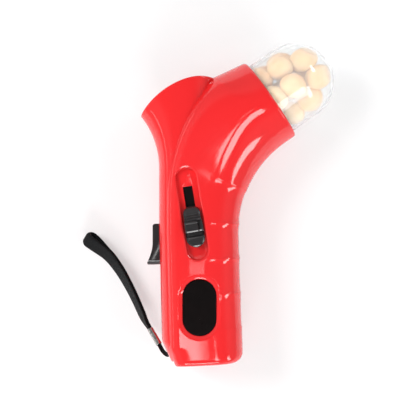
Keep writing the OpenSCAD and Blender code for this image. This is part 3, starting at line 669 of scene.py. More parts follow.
def baked_biscuit(tree, pale, tan):
    """Baked treat: smooth matt crust, pale cream with tan patches, one tint each, and fine pores."""
    own = add(tree, "ShaderNodeAttribute", out="Fac", attribute_name="bake")
    patches = add(tree, "ShaderNodeMath", {0: mottled(tree, 9, 0, 1, 3), 1: 0.45}, operation="MULTIPLY")
    share = add(tree, "ShaderNodeMath", {0: own, 1: patches}, operation="ADD", use_clamp=True)
    return coat(tree, share, pale, tan, {
        "Roughness": mottled(tree, 3, 0.42, 0.6), "IOR": 1.45,
        "Normal": relief(tree, 4.5, 0.25, 2, under=relief(tree, 0.7, 0.05)),
        "Subsurface Weight": 0.25, "Subsurface Radius": (0.004, 0.0025, 0.0015), "Subsurface Scale": 0.5})


def woven(tree, colour, shade, across_mm, along_mm, depth_mm, twist=0.0):
    """Woven nylon: UV runs in millimetres, u across or round the band and v along it. The gaps between its
    threads take the darker tone as painted shade.
    """
    uv = add(tree, "ShaderNodeUVMap", uv_map="weave")
    side = add(tree, "ShaderNodeSeparateXYZ", {"Vector": uv}, "X")
    along = side.node.outputs["Y"]

    def wave(value, pitch):
        turns = add(tree, "ShaderNodeMath", {0: value, 1: 2 * math.pi / pitch}, operation="MULTIPLY")
        return add(tree, "ShaderNodeMath", {0: turns}, operation="SINE")

    ribs = wave(along, along_mm)
    crossing = [wave(side, across_mm), ribs]
    if twist:
        slanted = add(tree, "ShaderNodeMath", {0: along, 1: twist}, operation="MULTIPLY")
        crossing = [wave(add(tree, "ShaderNodeMath", {0: side, 1: slanted}, operation=way), across_mm)
                    for way in ("ADD", "SUBTRACT")]
    threads = add(tree, "ShaderNodeMath", dict(enumerate(crossing)), operation="MULTIPLY")
    height = add(tree, "ShaderNodeMath", {0: threads, 1: ribs}, operation="ADD")
    raised = add(tree, "ShaderNodeMapRange", {"Value": height, "From Min": -2, "From Max": 2})
    normal = add(tree, "ShaderNodeBump", {"Height": raised, "Distance": depth_mm / 1000, "Strength": 1.0,
                                          "Normal": relief(tree, 0.25, 0.05)})
    # Painted shade: the low gaps between the threads take the darker tone, the raised threads the plain colour
    return coat(tree, raised, shade, colour, {
        "Roughness": mottled(tree, 0.25, 0.55, 0.8, 3), "Normal": normal,
        "Specular IOR Level": 0.2, "Sheen Weight": 0.04, "Sheen Roughness": 0.4})


# Each finish: how it is made, the panel's colours that it takes, and its sizes
FINISHES = {
    # Gloss ABS: deep even red with clear highlights, and the faint ripple of a polished tool
    "gloss_red_abs": (plastic, "red red_deep", dict(
        rough=0.07, grain_mm=3.5, depth_mm=0.004, ior=1.54, blotch_mm=45)),
    # Satin ABS: near black, with softer highlights from a finely textured tool
    "satin_black_abs": (plastic, "black black_deep", dict(
        rough=0.13, grain_mm=0.5, depth_mm=0.004, ior=1.53, blotch_mm=12)),
    # Acetal strip down in the slot: flat black that hardly shines
    "dull_black_acetal": (plastic, "rubber_deep rubber_deep", dict(
        rough=0.4, grain_mm=0.6, depth_mm=0.01, ior=1.48, blotch_mm=10, gloss_level=0.2)),
    # Thermoplastic rubber: dull warm black that scatters light
    "soft_black_rubber": (plastic, "rubber rubber_deep", dict(
        rough=0.5, grain_mm=0.35, depth_mm=0.03, ior=1.5, blotch_mm=10, gloss_level=0.1)),
    # Natural polypropylene: milky pale grey, slightly waxy
    "milky_grey_polypropylene": (plastic, "grey grey_deep", dict(
        rough=0.36, grain_mm=0.8, depth_mm=0.02, ior=1.49, blotch_mm=18)),
    # Acetal: slick off-white grey that slides well
    "slick_grey_acetal": (plastic, "acetal grey_deep", dict(
        rough=0.3, grain_mm=0.6, depth_mm=0.015, ior=1.48, blotch_mm=14)),
    # Clear polystyrene: colourless, with a pale sheen along its edge
    "clear_polystyrene": (clear_plastic, "cup", {}),
    # Baked biscuit: pale cream crust with tan patches
    "baked_biscuit": (baked_biscuit, "treat_pale treat_tan", {}),
    # Zinc-plated steel: bluish grey, softly shiny
    "zinc_plated_steel": (metal, "zinc zinc_deep", dict(rough=0.3, line_mm=0.4, depth_mm=0.01)),
    # Drawn spring wire: brighter, with fine marks from the die
    "drawn_spring_wire": (metal, "wire zinc_deep", dict(rough=0.24, line_mm=0.25, depth_mm=0.01)),
    # Nickel-plated brass sheet, folded round the cord: bright with soft dents
    "nickel_plated_sheet": (metal, "nickel nickel_deep", dict(rough=0.16, line_mm=1.6, depth_mm=0.06)),
    # Woven nylon tape: black cross ribs a little under a millimetre apart, with painted shade in the gaps
    # between them
    "woven_nylon_webbing": (woven, "nylon nylon_deep", dict(across_mm=1.0, along_mm=0.8, depth_mm=0.25)),
    # Braided nylon cord: threads that cross at a slant, with painted shade in the gaps between them
    "braided_nylon_cord": (woven, "nylon nylon_deep", dict(
        across_mm=0.8, along_mm=0.9, depth_mm=0.12, twist=0.9)),
}


def dressed(piece, finish):
    """Gives a piece one finish all over."""
    piece.data.materials.clear()
    piece.data.materials.append(look(finish))
    piece.data.polygons.foreach_set("material_index", np.zeros(len(piece.data.polygons), np.int32))


def worn(piece, finish, body, node):
    """A dressed piece that moves with a body in place of a CAD node."""
    dressed(piece, finish)
    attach(piece, body)
    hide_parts(node)
    return {"FINISHED"}


# ---- what a user can change ----
def colour(name, description, value):
    return FloatVectorProperty(name=name, description=description, size=4, subtype="COLOR", min=0, max=1,
                               default=tone(value))


def number(name, description, value, low, high, **kind):
    return FloatProperty(name=name, description=description, default=value, min=low, max=high, **kind)


def length(name, description, value_mm, low, high):
    return number(name, description, value_mm / 1000, low / 1000, high / 1000, precision=5, unit="LENGTH")


def count(name, description, value, low, high):
    return IntProperty(name=name, description=description, default=value, min=low, max=high)


class LauncherColours(bpy.types.PropertyGroup):
    """Colours of the launcher's finishes."""
    red: colour("Casing red", "Red of the moulded casing", "#E92B2E")
    red_deep: colour("Deep red", "Red of the casing's faint flow blotches", "#E9282A")
    black: colour("Black plastic", "Black of the slider and trigger", "#2F2D2E")
    black_deep: colour("Deep black", "Darker blotches of the black plastic", "#292728")
    rubber: colour("Rubber", "Black of the oval pad", "#0C0606")
    rubber_deep: colour("Deep rubber", "Darker blotches of the pad", "#090505")
    grey: colour("Barrel grey", "Pale grey of the barrel and funnel", "#D3D5D7")
    grey_deep: colour("Deep grey", "Shade of the pale grey parts", "#BFC2C5")
    acetal: colour("Striker grey", "Grey of the striker", "#C6C8CA")
    cup: colour("Cup", "Tint of the clear cup", "#F8FAFB")
    treat_pale: colour("Pale treat", "Cream of a lightly baked treat", "#D4BB90")
    treat_tan: colour("Tan treat", "Tan of a well baked treat", "#CE9F69")
    zinc: colour("Zinc", "Plated screws and pins", "#B4B8BE")
    zinc_deep: colour("Deep zinc", "Dull patches of the plating", "#8F949B")
    wire: colour("Spring wire", "Drawn wire of the springs", "#C4C6C9")
    nickel: colour("Nickel", "Plated crimp of the strap", "#DAD9D6")
    nickel_deep: colour("Deep nickel", "Dull patches of the crimp", "#B9B7B2")
    nylon: colour("Nylon", "Raised threads of the strap", "#151618")
    # Painted shade: the darker tone laid in the gaps between the strap's and cord's threads
    nylon_deep: colour("Deep nylon", "Gaps between the strap's threads", "#08090A")


class CasingSizes(bpy.types.PropertyGroup):
    """Rounded edges and seam of the red casing."""
    rim_round: length("Rim edge", "Rounding of the hopper's rim", 1.2, 0.1, 1.3)
    lip_round: length("Lip edge", "Rounding of the mouth's lip", 0.9, 0.1, 1.2)
    cut_round: length("Cut edge", "Rounding of the trigger's window", 0.6, 0.1, 1)
    chamfer_w: length("Pad chamfer", "Width of the soft rim round the pad", 3.0, 1, 4)
    seam_w: length("Seam width", "Width of the seam between the shells", 0.5, 0.1, 1)
    seam_d: length("Seam depth", "Depth of the seam between the shells", 0.3, 0.05, 0.6)
    around: count("Points round", "Points round each casing section", 240, 80, 320)


class StrapSizes(bpy.types.PropertyGroup):
    """Sizes of the wrist strap."""
    strand: length("Strand", "Thickness of one strand of the cord loop", 1.3, 0.8, 1.6)
    tape_w: length("Webbing width", "Width of the webbing", 9.6, 6, 11)
    tape_t: length("Webbing thickness", "Thickness of one layer of the webbing", 1.15, 0.6, 1.6)
    loop: length("Fold", "Half height of the open fold at the webbing's tip", 1.9, 1, 3)


class TreatShape(bpy.types.PropertyGroup):
    """Shape of the baked treats."""
    uneven: number("Unevenness", "How far a treat departs from an even bun", 0.035, 0, 0.08, subtype="FACTOR")
    seed: count("Seed", "Seed of the treats' shapes and tints", 11, 0, 99)


class StageSizes(bpy.types.PropertyGroup):
    """Camera and light."""
    height: number("Camera height", "Height of the camera over the parting plane", 1.0, 0.5, 3, unit="LENGTH")
    view_w: number("View width", "Width that it sees at the parting plane", 0.2496, 0.1, 1, unit="LENGTH")
    sky: number("Sky", "Strength of the white surroundings at the sides", 0.4, 0, 2)
    overhead: number("Overhead", "Strength of the surroundings overhead", 0.1, 0, 2)
    paper: number("Paper", "Share of the floor that the camera sees plain white", 0.52, 0, 1, subtype="FACTOR")
    key: number("Key", "Power of the large soft lamp at the upper left", 9.6, 0, 60, unit="POWER")


# ---- stage ----
def lamp(name, place, target, along, size, power, mirrored=True):
    """An area lamp from place to target, both plan points, with its second size along a direction."""
    data = bpy.data.lights.new(name, "AREA")
    data.shape, data.size, data.size_y, data.energy = "RECTANGLE", size[0], size[1], power
    o = bpy.data.objects.new(name, data)
    bpy.context.scene.collection.objects.link(o)
    back = unit(np.subtract(place, target))
    y = unit(np.asarray(along, float) - back * (back @ np.asarray(along, float)))
    o.location = placed(place)
    o.rotation_euler = Matrix(np.stack([np.cross(y, back), y, back], -1).tolist()).to_euler()
    o.visible_glossy = mirrored


def plainly_seen(tree):
    """1 where the camera sees a surface itself, or through the clear cup."""
    camera = add(tree, "ShaderNodeLightPath", out="Is Camera Ray")
    through = camera.node.outputs["Is Transmission Ray"]
    return add(tree, "ShaderNodeMath", {0: camera, 1: through}, operation="MAXIMUM")


def white_card(tree, paper):
    """Matt white card, a share of which stays plain white in the camera's view."""
    white, bright = tone("#FAFAFB"), tone("#FCFCFC")
    card = coat(tree, mottled(tree, 60, 0, 1), white, bright, {"Roughness": 0.75, "IOR": 1.3})
    own = add(tree, "ShaderNodeEmission", {"Color": (1, 1, 1, 1), "Strength": 1.0})
    seen = add(tree, "ShaderNodeMath", {0: plainly_seen(tree), 1: paper}, operation="MULTIPLY")
    return add(tree, "ShaderNodeMixShader", {0: seen, 1: card, 2: own})


class LAUNCHER_OT_stage(bpy.types.Operator):
    """Camera straight above, white floor and soft studio light"""
    bl_idname = "launcher.stage"
    bl_label = "Stage"

    def execute(self, context):
        sizes, scene = context.scene.launcher_stage, context.scene
        scene.view_settings.view_transform = "Standard"
        data = bpy.data.cameras.new("camera")
        data.lens = data.sensor_width * sizes.height / sizes.view_w
        scene.camera = bpy.data.objects.new("camera", data)
        scene.collection.objects.link(scene.camera)
        scene.camera.location = placed((0, 0, 0)) + sizes.height * UP

        world = scene.world = bpy.data.worlds.new("white_surroundings")
        world.use_nodes = True
        tree = world.node_tree
        tree.nodes.clear()
        # Bright round the sides and dim overhead, where the camera stands; plain white where it is seen
        way = add(tree, "ShaderNodeTexCoord", out="Generated")
        upwards = add(tree, "ShaderNodeSeparateXYZ", {0: way}, "Z")
        glow = add(tree, "ShaderNodeMapRange", {
            "Value": upwards, "From Min": 0.7, "From Max": 0.93,
            "To Min": sizes.sky, "To Max": sizes.overhead}, interpolation_type="SMOOTHSTEP")
        seen = plainly_seen(tree)
        strength = add(tree, "ShaderNodeMapRange", {"Value": seen, "To Min": glow, "To Max": 1.0})
        back = add(tree, "ShaderNodeBackground", {"Color": (1, 1, 1, 1), "Strength": strength})
        add(tree, "ShaderNodeOutputWorld", {"Surface": back})

        corners = [(-2, -2, 0), (2, -2, 0), (2, 2, 0), (-2, 2, 0)]
        floor = mesh_object("white_table", corners, [[0, 1, 2, 3]], slots=0, world=False)
        floor.data.materials.append(new_material("matt_white_card", white_card, sizes.paper))

        lamp("key_lamp", (-800, 320, 930), (10, 0, 0), (0, 1, 0), (0.5, 0.5), sizes.key, mirrored=False)
        lamp("hopper_lamp", (172, -292, 1200), (27, 57, 26), (0.62, -0.78, 0), (0.11, 0.24), 0.72)
        lamp("cup_lamp", (445, -375, 700), (52, 72, 23), (0.62, -0.79, 0), (0.15, 0.46), 1.2)
        lamp("bend_lamp", (632, -385, 549), (22, 32, 20), (-0.13, 0.42, 0.51), (0.15, 0.52), 2.3)
        lamp("window_lamp", (-290, -197, 1200), (-14, -82, 21), (0, 1, 0), (0.58, 0.07), 0.95)
        lamp("recess_lamp", (-20, -80, 1200), (-8, -40, 21), (0, 1, 0), (0.08, 0.025), 0.02)
        lamp("south_lamp", (-60, -900, 500), (-10, -30, 15), (0, 0, 1), (0.5, 0.26), 4.2)
        lamp("left_lamp", (-900, 150, 330), (-20, 20, 20), (0, 1, 0), (0.06, 0.9), 0.5)
        lamp("rim_lamp", (640, 500, 380), (37, 65, 20), (0, 0, 1), (0.25, 0.12), 1.1)
        return {"FINISHED"}


# ---- strap ----
def smooth_line(points, count):
    """count points at even steps along a smooth curve through points."""
    p = np.asarray(points, float)
    p = np.concatenate([[2 * p[0] - p[1]], p, [2 * p[-1] - p[-2]]])
    t, fine = np.linspace(0, 1, 24, endpoint=False)[:, None], []
    for a, b, c, d in zip(p, p[1:], p[2:], p[3:]):
        fine.append(0.5 * (2 * b + (c - a) * t + (2 * a - 5 * b + 4 * c - d) * t ** 2
                           + (3 * b - a - 3 * c + d) * t ** 3))
    fine = np.concatenate(fine + [p[-2:-1]])
    run = run_along(fine)
    return np.stack([np.interp(np.linspace(0, run[-1], count), run, fine[:, k]) for k in range(3)], -1)


def frames(line):
    """The direction of a line at each point, with a level direction across it and one upwards."""
    d = np.gradient(line, axis=0)
    d = d / np.linalg.norm(d, axis=1)[:, None]
    side = np.array([unit(np.cross(q, UP)) for q in d])
    return d, side, np.cross(side, d)


def with_weave(piece, around_mm, along_mm):
    """A UV map in millimetres for a lofted band, u round its section and v along it."""
    mesh, m = piece.data, len(around_mm) - 1
    uv = np.zeros((len(mesh.loops), 2))
    for polygon in mesh.polygons:
        corners = [divmod(mesh.loops[l].vertex_index, m) for l in polygon.loop_indices]
        columns = [column for _, column in corners]
        wrap = max(columns) - min(columns) > m / 2
        for l, (row, column) in zip(polygon.loop_indices, corners):
            uv[l] = (around_mm[m if wrap and column == 0 else column], along_mm[row])
    mesh.uv_layers.new(name="weave").data.foreach_set("uv", uv.ravel())


class LAUNCHER_OT_strap(bpy.types.Operator):
    """Wrist strap: cord loop, plated crimp and folded webbing"""
    bl_idname = "launcher.strap"
    bl_label = "Wrist strap"

    def execute(self, context):
        sizes = context.scene.launcher_strap
        web = smooth_line(webbing_route, 120)
        # Cord: two strands side by side, from the pin, through the crimp and in between the layers
        in_crimp, inside = (-32.5, -78.1, -13.0), [tuple(web[i]) for i in (6, 14, 22, 30)]
        line = smooth_line(cord_route + [in_crimp] + inside, 90)
        _, side, lift = frames(line)
        steps, r = 12, sizes.strand * 500
        strands = []
        for s in (-1, 1):
            rings = [p + u * s * r * 0.98 + r * hoop(u, w, steps) for p, u, w in zip(line, side, lift)]
            strands.append(loft(f"strand{s}", rings))
            with_weave(strands[-1], 2 * np.pi * r * np.arange(steps + 1) / steps, run_along(line))
        cord = strands[0]
        bm = bmesh.new()
        for strand in strands:
            bm.from_mesh(strand.data)
        bm.to_mesh(cord.data)
        bm.free()
        dropped(strands[1])
        cord.name = cord.data.name = "wrist_cord"

        # Webbing: one band out along the upper layer, round the open fold and back
        d, beside, above = frames(web)
        f = np.linspace(0, 1, len(web))
        slant = np.radians(68 - 34 * f ** 2)[:, None]
        thick = np.sin(slant) * beside - np.cos(slant) * above
        wide = np.cos(slant) * beside + np.sin(slant) * above
        total = float(run_along(web)[-1])
        along = f * total
        half_w, half_t, fold = sizes.tape_w * 500, sizes.tape_t * 500, sizes.loop * 1000
        shut = half_t * 1.04
        gap = shut + (fold - shut) * ease(across(along, total - 17, total - 4))
        last = int(np.searchsorted(along, total - fold - half_t))
        rows = [(web[i] + thick[i] * gap[i], thick[i], wide[i], along[i]) for i in range(last)]
        for a in np.linspace(0, math.pi, 15):
            out = thick[last] * math.cos(a) + d[last] * math.sin(a)
            rows.append((web[last] + out * gap[last], out, wide[last], along[last]))
        rows += [(web[i] - thick[i] * gap[i], -thick[i], wide[i], along[i]) for i in range(last - 1, -1, -1)]
        # Round-edged section, narrow in the crimp, and a shallow notch where the fold's edges spring open
        cs, sn = circle(20, 0.5)
        shape_w, shape_t = np.sign(cs) * np.abs(cs) ** 0.35, np.sign(sn) * np.abs(sn) ** 0.6
        rings = []
        for p, t, w, s in rows:
            notch = ease(across(s, total - 9, total - 2)) * 1.5 * (0.6 - 4 * (np.abs(shape_w) - 0.5) ** 2)
            full = half_w * (0.42 + 0.58 * ease(s / 11))
            flat = np.outer(shape_w * full, w) + np.outer(shape_t * half_t, t)
            rings.append(p + flat + np.outer(notch, d[last]))
        tape = loft("strap_tape", rings)
        run = run_along(np.array([row[0] for row in rows]))
        around = run_along(np.stack([shape_w * half_w, shape_t * half_t], -1))
        with_weave(tape, np.append(around, around[-1] + half_t), run)

        # Crimp: sheet folded round the cord, flattened a little, pinched twice, with rolled ends
        start, end = np.array(cord_route[-1]), np.array(webbing_route[0])
        ahead, span = unit(end - start), float(np.linalg.norm(end - start))
        side = unit(np.cross(ahead, UP))
        lift = np.cross(side, ahead)
        rolled = [(0.0, 1.62), (0.12, 1.85), (0.4, 1.96)]
        profile = rolled + [(x, 1.92 - 0.07 * sum(math.exp(-((x - span * q) / 0.55) ** 2) for q in (0.3, 0.7)))
                            for x in np.linspace(0.9, span - 0.9, 40)]
        profile += [(span - x, r) for x, r in rolled[::-1]] + [(x, 1.4) for x in (span - 0.1, span * 0.5, 0.1)]
        rings = [start + ahead * x + r * hoop(side, (0.86 if r > 1.5 else 0.95) * lift, 40)
                 for x, r in profile + profile[:1]]
        crimp = loft("plated_crimp", rings, caps=False)
        tidied(crimp)

        worn(cord, "braided_nylon_cord", "casing", "strap_cord")
        worn(crimp, "nickel_plated_sheet", "casing", "strap_crimp")
        worn(tape, "woven_nylon_webbing", "casing", "strap_webbing")
        return {"FINISHED"}


# ---- casing ----
class LAUNCHER_OT_casing(bpy.types.Operator):
    """Two red shells with rounded edges, recess, pad pocket, windows and seam"""
    bl_idname = "launcher.casing"
    bl_label = "Casing"

    def execute(self, context):
        sizes = context.scene.launcher_casing
        casing = loft("front_shell_red", main_skin(sizes.around, sizes.rim_round * 1000))
        tube = loft("tube_skin", tube_skin(sizes.around * 2 // 3, sizes.lip_round * 1000))
        lofts = [bvh(casing), bvh(tube)]
        carve(casing, tube, "UNION")
        skin = height_on(bvh(casing)[0])
        carve(casing, self.hollow())

        # Cup seat with a rounded mouth, the funnel's hole, the barrel's bore and the bell
        seat, edge = cup_r + seat_gap, 0.5
        mouth = [(seat + out, -below) for below, out in quarter(edge, 6, 1.45)]
        profile = [(0, -funnel_top - 0.1), (seat, -funnel_top - 0.1)] + mouth + [
            (seat + edge, 0.02), (seat + edge, 30), (0, 30)]
        carve(casing, turned("cup_seat", profile, *HOPPER_AXIS, 192))
        profile = [(0, -cup_skirt - 8), (cup_r - 2, -cup_skirt - 8), (cup_r - 2, -cup_skirt), (0, -cup_skirt)]
        carve(casing, turned("funnel_hole", profile, *HOPPER_AXIS, 96))
        carve(casing, mouth_bell(160, 0.7))
        foot, muzzle = on_barrel(barrel_s0 - 0.2), on_barrel(muzzle_s)
        carve(casing, bar("barrel_bore", barrel_r + seat_gap, foot, muzzle, 96))

        # Recess of the slider, its slot, and the room of the dust strip
        along_barrel = BARREL_SIDE, BARREL_AHEAD, UP
        edge = [(0, 0.72), (0.05, 0.56), (0.12, 0.5), (0.85, 0.07), (0.95, 0.02), (1.05, -skin_proud)]
        shape = finely(*outline_oval(recess_w, recess_s1 - recess_s0, 36), 0.8)
        middle = on_barrel((recess_s0 + recess_s1) / 2)
        carve(casing, pocket("recess", shape, middle, *along_barrel, recess_floor, skin, edge, 0.15))
        shape, middle = outline_box(slot_w, slot_s1 - slot_s0, 0.35), on_barrel((slot_s0 + slot_s1) / 2)
        flat = lambda p, w: np.full(len(p), float(recess_floor))
        carve(casing, pocket("slot", shape, middle, *along_barrel, 0, flat, rounded(0.3)))
        carve(casing, solid_box("strip_room", (-4.4, slot_s0 - strip_reach - 1, 0),
                                (4.4, slot_s1 + strip_reach + 1, strip_z + 1.3), barrel_c, barrel_tilt))

        # Pad pocket with its soft chamfer
        chamfer = sizes.chamfer_w * 1000
        edge = [(0, 1.25), (0.12, 1.05), (0.4, 0.9)] + [
            (chamfer * (0.16 + 0.84 * q), 0.88 * (1 - q) ** 1.6) for q in np.linspace(0.04, 0.96, 10)]
        edge.append((chamfer, -skin_proud))
        shape = finely(*outline_oval(pad_w + 2 * seat_gap, pad_len + 2 * seat_gap, 48), 0.8)
        carve(casing, pocket("pad_pocket", shape, (*pad_c, 0), (1, 0, 0), (0, 1, 0), UP, grip_front - pad_deep,
                             skin, edge, 0.2))

        # Trigger window and its inner room, and the pin's hole
        low, high, half = trigger_foot - 3.2, trigger_top + 0.8, trigger_t / 2 + 0.4
        shape = finely(*outline_box(high - low, 2 * half, 0.8), 1.0)
        carve(casing, pocket("window", shape, (0, (low + high) / 2, 0), (0, 1, 0), (0, 0, -1), (-1, 0, 0),
                             -(strip_left + 6), skin, rounded(sizes.cut_round * 1000), 0.2))
        room, top = strip_left + 1.7, trigger_c[1] + 10.4
        carve(casing, solid_box("trigger_room", (room, low, -half), (room + trigger_room, top, half)))
        carve(casing, uprights("pin_hole", pin_hole_r, [trigger_c], -9.5, 9.5, 24))

        # Strap window, along the cord's way out, and its pin's hole
        way = smooth_line(cord_route, 24)[:20]
        _, side, lift = frames(way)
        wide = 2.2 + 0.9 * ease((np.arange(20) - 5) / 6)
        rings = [p + r * hoop(u, w, 28) for p, r, u, w in zip(way, wide, side, lift)]
        carve(casing, loft("strap_window", rings, 1))
        carve(casing, uprights("strap_pin_hole", pin_hole_r, [strap_pin_c], -8.5, 8.5, 20))

        # Screw holes and rounded counterbores at the back
        carve(casing, uprights("screw_holes", screw_hole_r, screw_places, -30, 9, 20))
        ring = np.stack(circle(36), -1)
        for x, y in screw_places:
            carve(casing, pocket("counterbore", (ring * head_bore_r, ring), (x, y, 0), (1, 0, 0), (0, -1, 0),
                                 (0, 0, -1), head_seat, skin, rounded(0.45), 0.2))
        carve(casing, self.seam(sizes.seam_d * 1000, sizes.seam_w * 500))

        rear = casing.copy()
        rear.data, rear.name = casing.data.copy(), "rear_shell_red"
        context.scene.collection.objects.link(rear)
        half_space = solid_box("front_space", (-200, -200, 0), (200, 200, 100))
        carve(rear, half_space, "DIFFERENCE", keep=True)
        carve(casing, half_space, "INTERSECT")
        for piece, node in ((casing, "front_shell"), (rear, "rear_shell")):
            skin_normals(piece, lofts)
            worn(piece, "gloss_red_abs", "casing", node)
        return {"FINISHED"}

    def hollow(self):
        """The room inside the casing, less the plates, bosses, saddles and posts that stand in it."""
        heights = [base_y + wall, base_y + 14] + list(np.linspace(bend_y, rim_v - 2, 16))
        hollow = loft("hollow", [main_section(v, wall, 48) for v in heights], 1)
        lines = tube_lines(wall, 48)
        rings = [tube_section(v, wall, 48) for v in (tube_base + wall, tube_base + 12)]
        rings += [at(lines, to_lip(lines, -3) * f) for f in np.linspace(0, 1, 14)]
        carve(hollow, loft("tube_hollow", rings, 1), "UNION")
        wide = tube_section(flare_end, 0, 48) + 2 * mouth_dir
        walls = to_mouth(barrel_ring(74.5, barrel_r + wall, 48), wide, 8, 20)
        carve(hollow, loft("bell_wall", walls[[*range(8), -1]], 1))

        def plate(name, width, height, origin, low, turn=0.0):
            """A plate that stands out by a wall's thickness round and behind an oval pocket."""
            c, s = math.cos(turn), math.sin(turn)
            outline, _ = outline_oval(width + 2 * wall, height + 2 * wall)
            flat = outline @ np.array([(c, s), (-s, c)]) + origin[:2]
            levels = (low, grip_front + cut_over)
            carve(hollow, loft(name, [level(flat, z) for z in levels], 1))

        middle = on_barrel((recess_s0 + recess_s1) / 2)
        plate("recess_plate", recess_w, recess_s1 - recess_s0, middle, recess_floor - 2.1, barrel_tilt)
        plate("pad_plate", pad_w, pad_len, pad_c, grip_front - pad_deep - wall)
        deep = -funnel_top - 4.5
        collar = [(0, deep), (collar_r + 3, deep), (collar_r + 3, 20), (0, 20)]
        carve(hollow, turned("collar", collar, *HOPPER_AXIS, 64))
        carve(hollow, uprights("bosses", boss_r, screw_places, -40, 40, 24))
        for s in (barrel_s0 + 6, -14, 40):
            carve(hollow, solid_box("saddle", (-25, s, -60), (25, s + 2, 60), barrel_c, barrel_tilt))
        posts = [bar("post", r, (*c, k * gap), (*c, k * 40), 24)
                 for c, r, gap in ((trigger_c, 3.5, 4.9), (strap_pin_c, 3.4, 2.3)) for k in (-1, 1)]
        carve(hollow, joined("posts", posts))
        return hollow

    def seam(self, depth, half):
        """A shallow groove along the outline at the parting plane, left out across the mouth."""
        shape = [(0.06, -half), (-depth, 0.0), (0.06, half)]
        groove = solid_box("groove", (-100, -100, -half), (100, 95, half))

        def lens(name, section, steps, top, heights):
            rings = []
            for v in heights:
                ring = section(min(v, top), 0, steps)[:, :2] + max(0, v - top) * hopper_dir
                a, b = ring[0], ring[steps // 2]
                e = unit(a - b)
                rings.append([(*(a + e * o), h) for o, h in shape]
                             + [(*(b - e * o), h) for o, h in shape[::-1]])
            carve(groove, loft(name, rings, 1))

        rises = [0.3, 0.6, 1, 1.6, 2.3, 3.2]
        ridges = [ridge_low - finger_pitch + i * finger_pitch / 10 for i in range(10 * ridge_count + 1)]
        lens("main_lens", main_section, 240, rim_v, [base_y + h for h in rises + [4.5, 6, 8, 10, 11, 13]]
             + ridges + list(np.linspace(ridge_top, rim_v + 3, 50))[1:])
        lens("tube_lens", tube_section, 160, flare_end, [tube_base + h for h in rises + [5, 8, 12]]
             + list(np.linspace(tube_base + 14, flare_end, 80)))
        carve(groove, solid_box("keep_mouth", (-60, 53, -5), (30, 200, 5)))
        return groove


# ---- pad ----
class LAUNCHER_OT_pad(bpy.types.Operator):
    """Oval rubber pad with a rounded edge, a slight crown and a dot"""
    bl_idname = "launcher.pad"
    bl_label = "Grip pad"

    def execute(self, context):
        base, edge, crown = grip_front - pad_deep, 0.6, 0.25
        outline, normals = finely(*outline_oval(pad_w, pad_len, 40), 0.8)
        steps = [(9.9, 0), (0.3, 0), (0.05, 0.1), (0, 0.4)]
        steps += [(inset, pad_thick - down) for down, inset in quarter(edge)]
        steps += [(k, pad_thick + crown * (1 - (1 - (k - edge) / 9.4) ** 2))
                  for k in (1.5, 3, 5, 7, 8.5, 9.6, 9.95)]
        pad = loft("oval_pad", [level(outline - normals * inset + pad_c, base + h) for inset, h in steps])
        profile = [(0, 1.7), (0.7, 1.7), (0.72, 1.95), (0.6, 2.12), (0.3, 2.2), (0, 2.22)]
        dot_c = (pad_c[0] + 1.5, pad_c[1] - pad_len * 0.29, base)
        carve(pad, turned("dot", profile, dot_c, UP, 24, 0), "UNION")
        shaded(pad, 40)
        return worn(pad, "soft_black_rubber", "casing", "grip_pad")


# ---- slider ----
def window_of(s, start, full, fall, end):
    """1 between full and fall, with soft ends out to start and end."""
    return ease(across(s, start, full)) * ease(across(s, end, fall))


class LAUNCHER_OT_slider(bpy.types.Operator):
    """Slider knob with its nose, ribs, thumb block, notch and round foot"""
    bl_idname = "launcher.slider"
    bl_label = "Slider knob"

    def execute(self, context):
        # (along, height): round foot, notch and thumb block, then three ribs, then the domed nose
        side = [(0, 2.7), (0.15, 3.05), (1.3, 3.72), (5.6, 4.45), (6.2, 4.4), (6.5, 4.1),
                (6.62, 1.9), (8.7, 1.9), (8.85, 6.6), (9.0, 6.9), (10.1, 7.5), (15.0, 7.1), (15.5, 6.8),
                (15.7, 5.9), (16.15, 5.8), (16.4, 6.6), (16.95, 6.5), (17.2, 5.5), (17.6, 5.45), (17.85, 6.2),
                (18.4, 6.05), (18.65, 5.1), (19.1, 5.1),
                (19.6, 5.5), (20.6, 5.2), (21.8, 4.6), (23.2, 3.5), (24.1, 2.2), (24.6, 1.1), (24.8, 0.5)]
        s = np.concatenate([np.linspace(0, 0.6, 14), np.arange(0.66, knob_len - 0.6, 0.09),
                            np.linspace(knob_len - 0.6, knob_len, 14)])
        height = np.interp(s, *zip(*side))
        height = np.convolve(np.pad(height, 2, "edge"), np.array([1, 2, 3, 2, 1]) / 9, "valid")
        tail, nose = knob_w / 2, 5.0
        foot = np.sqrt(np.maximum(tail ** 2 - (tail - s) ** 2, 0.02))
        front = np.sqrt(np.maximum(nose ** 2 - (s - knob_len + nose) ** 2, 0.02))
        half = np.where(s < tail, foot, tail - 0.5 * ease((s - 12) / 6))
        half = np.where(s > knob_len - nose, front, half)
        # The foot and the block have sunken middles, and the block leaves the knob's right side low
        sunk = 0.5 * window_of(s, 1.2, 1.7, 5.5, 5.9) + 0.4 * window_of(s, 10.2, 10.6, 14.1, 14.5)
        low = 2.4 * window_of(s, 8.6, 8.9, 15.5, 15.9)
        edge_share = np.linspace(1, 0.7, 16)
        share = np.concatenate([edge_share, np.linspace(0.68, -0.68, 45), -edge_share[::-1]])
        under = (-0.96, -0.5, 0, 0.5, 0.96)
        rings = []
        for q, h, w, deep, fall in zip(s, height, half, sunk, low):
            x = share * w
            edge = w - np.abs(x)
            top = h - 0.5 * np.clip(1 - edge, 0, 1) - 0.5 * np.clip(1 - edge / 0.16, 0, 1) ** 2
            top -= deep * ease((w - 1.15 - np.abs(x + 1.1 * min(1, fall))) / 0.3) + fall * ease((x - 2.3) / 0.5)
            ring = [(w, 0.1), *zip(x, np.maximum(top, 0.4)), (-w, 0.1)] + [(k * w, 0) for k in under]
            rings.append(on_barrel(knob_s + q, knob_z0) + np.array(ring) @ np.array([BARREL_SIDE, UP]))
        knob = loft("thumb_slider", rings)
        shaded(knob, 50)
        return worn(knob, "satin_black_abs", "striker", "slider_knob")


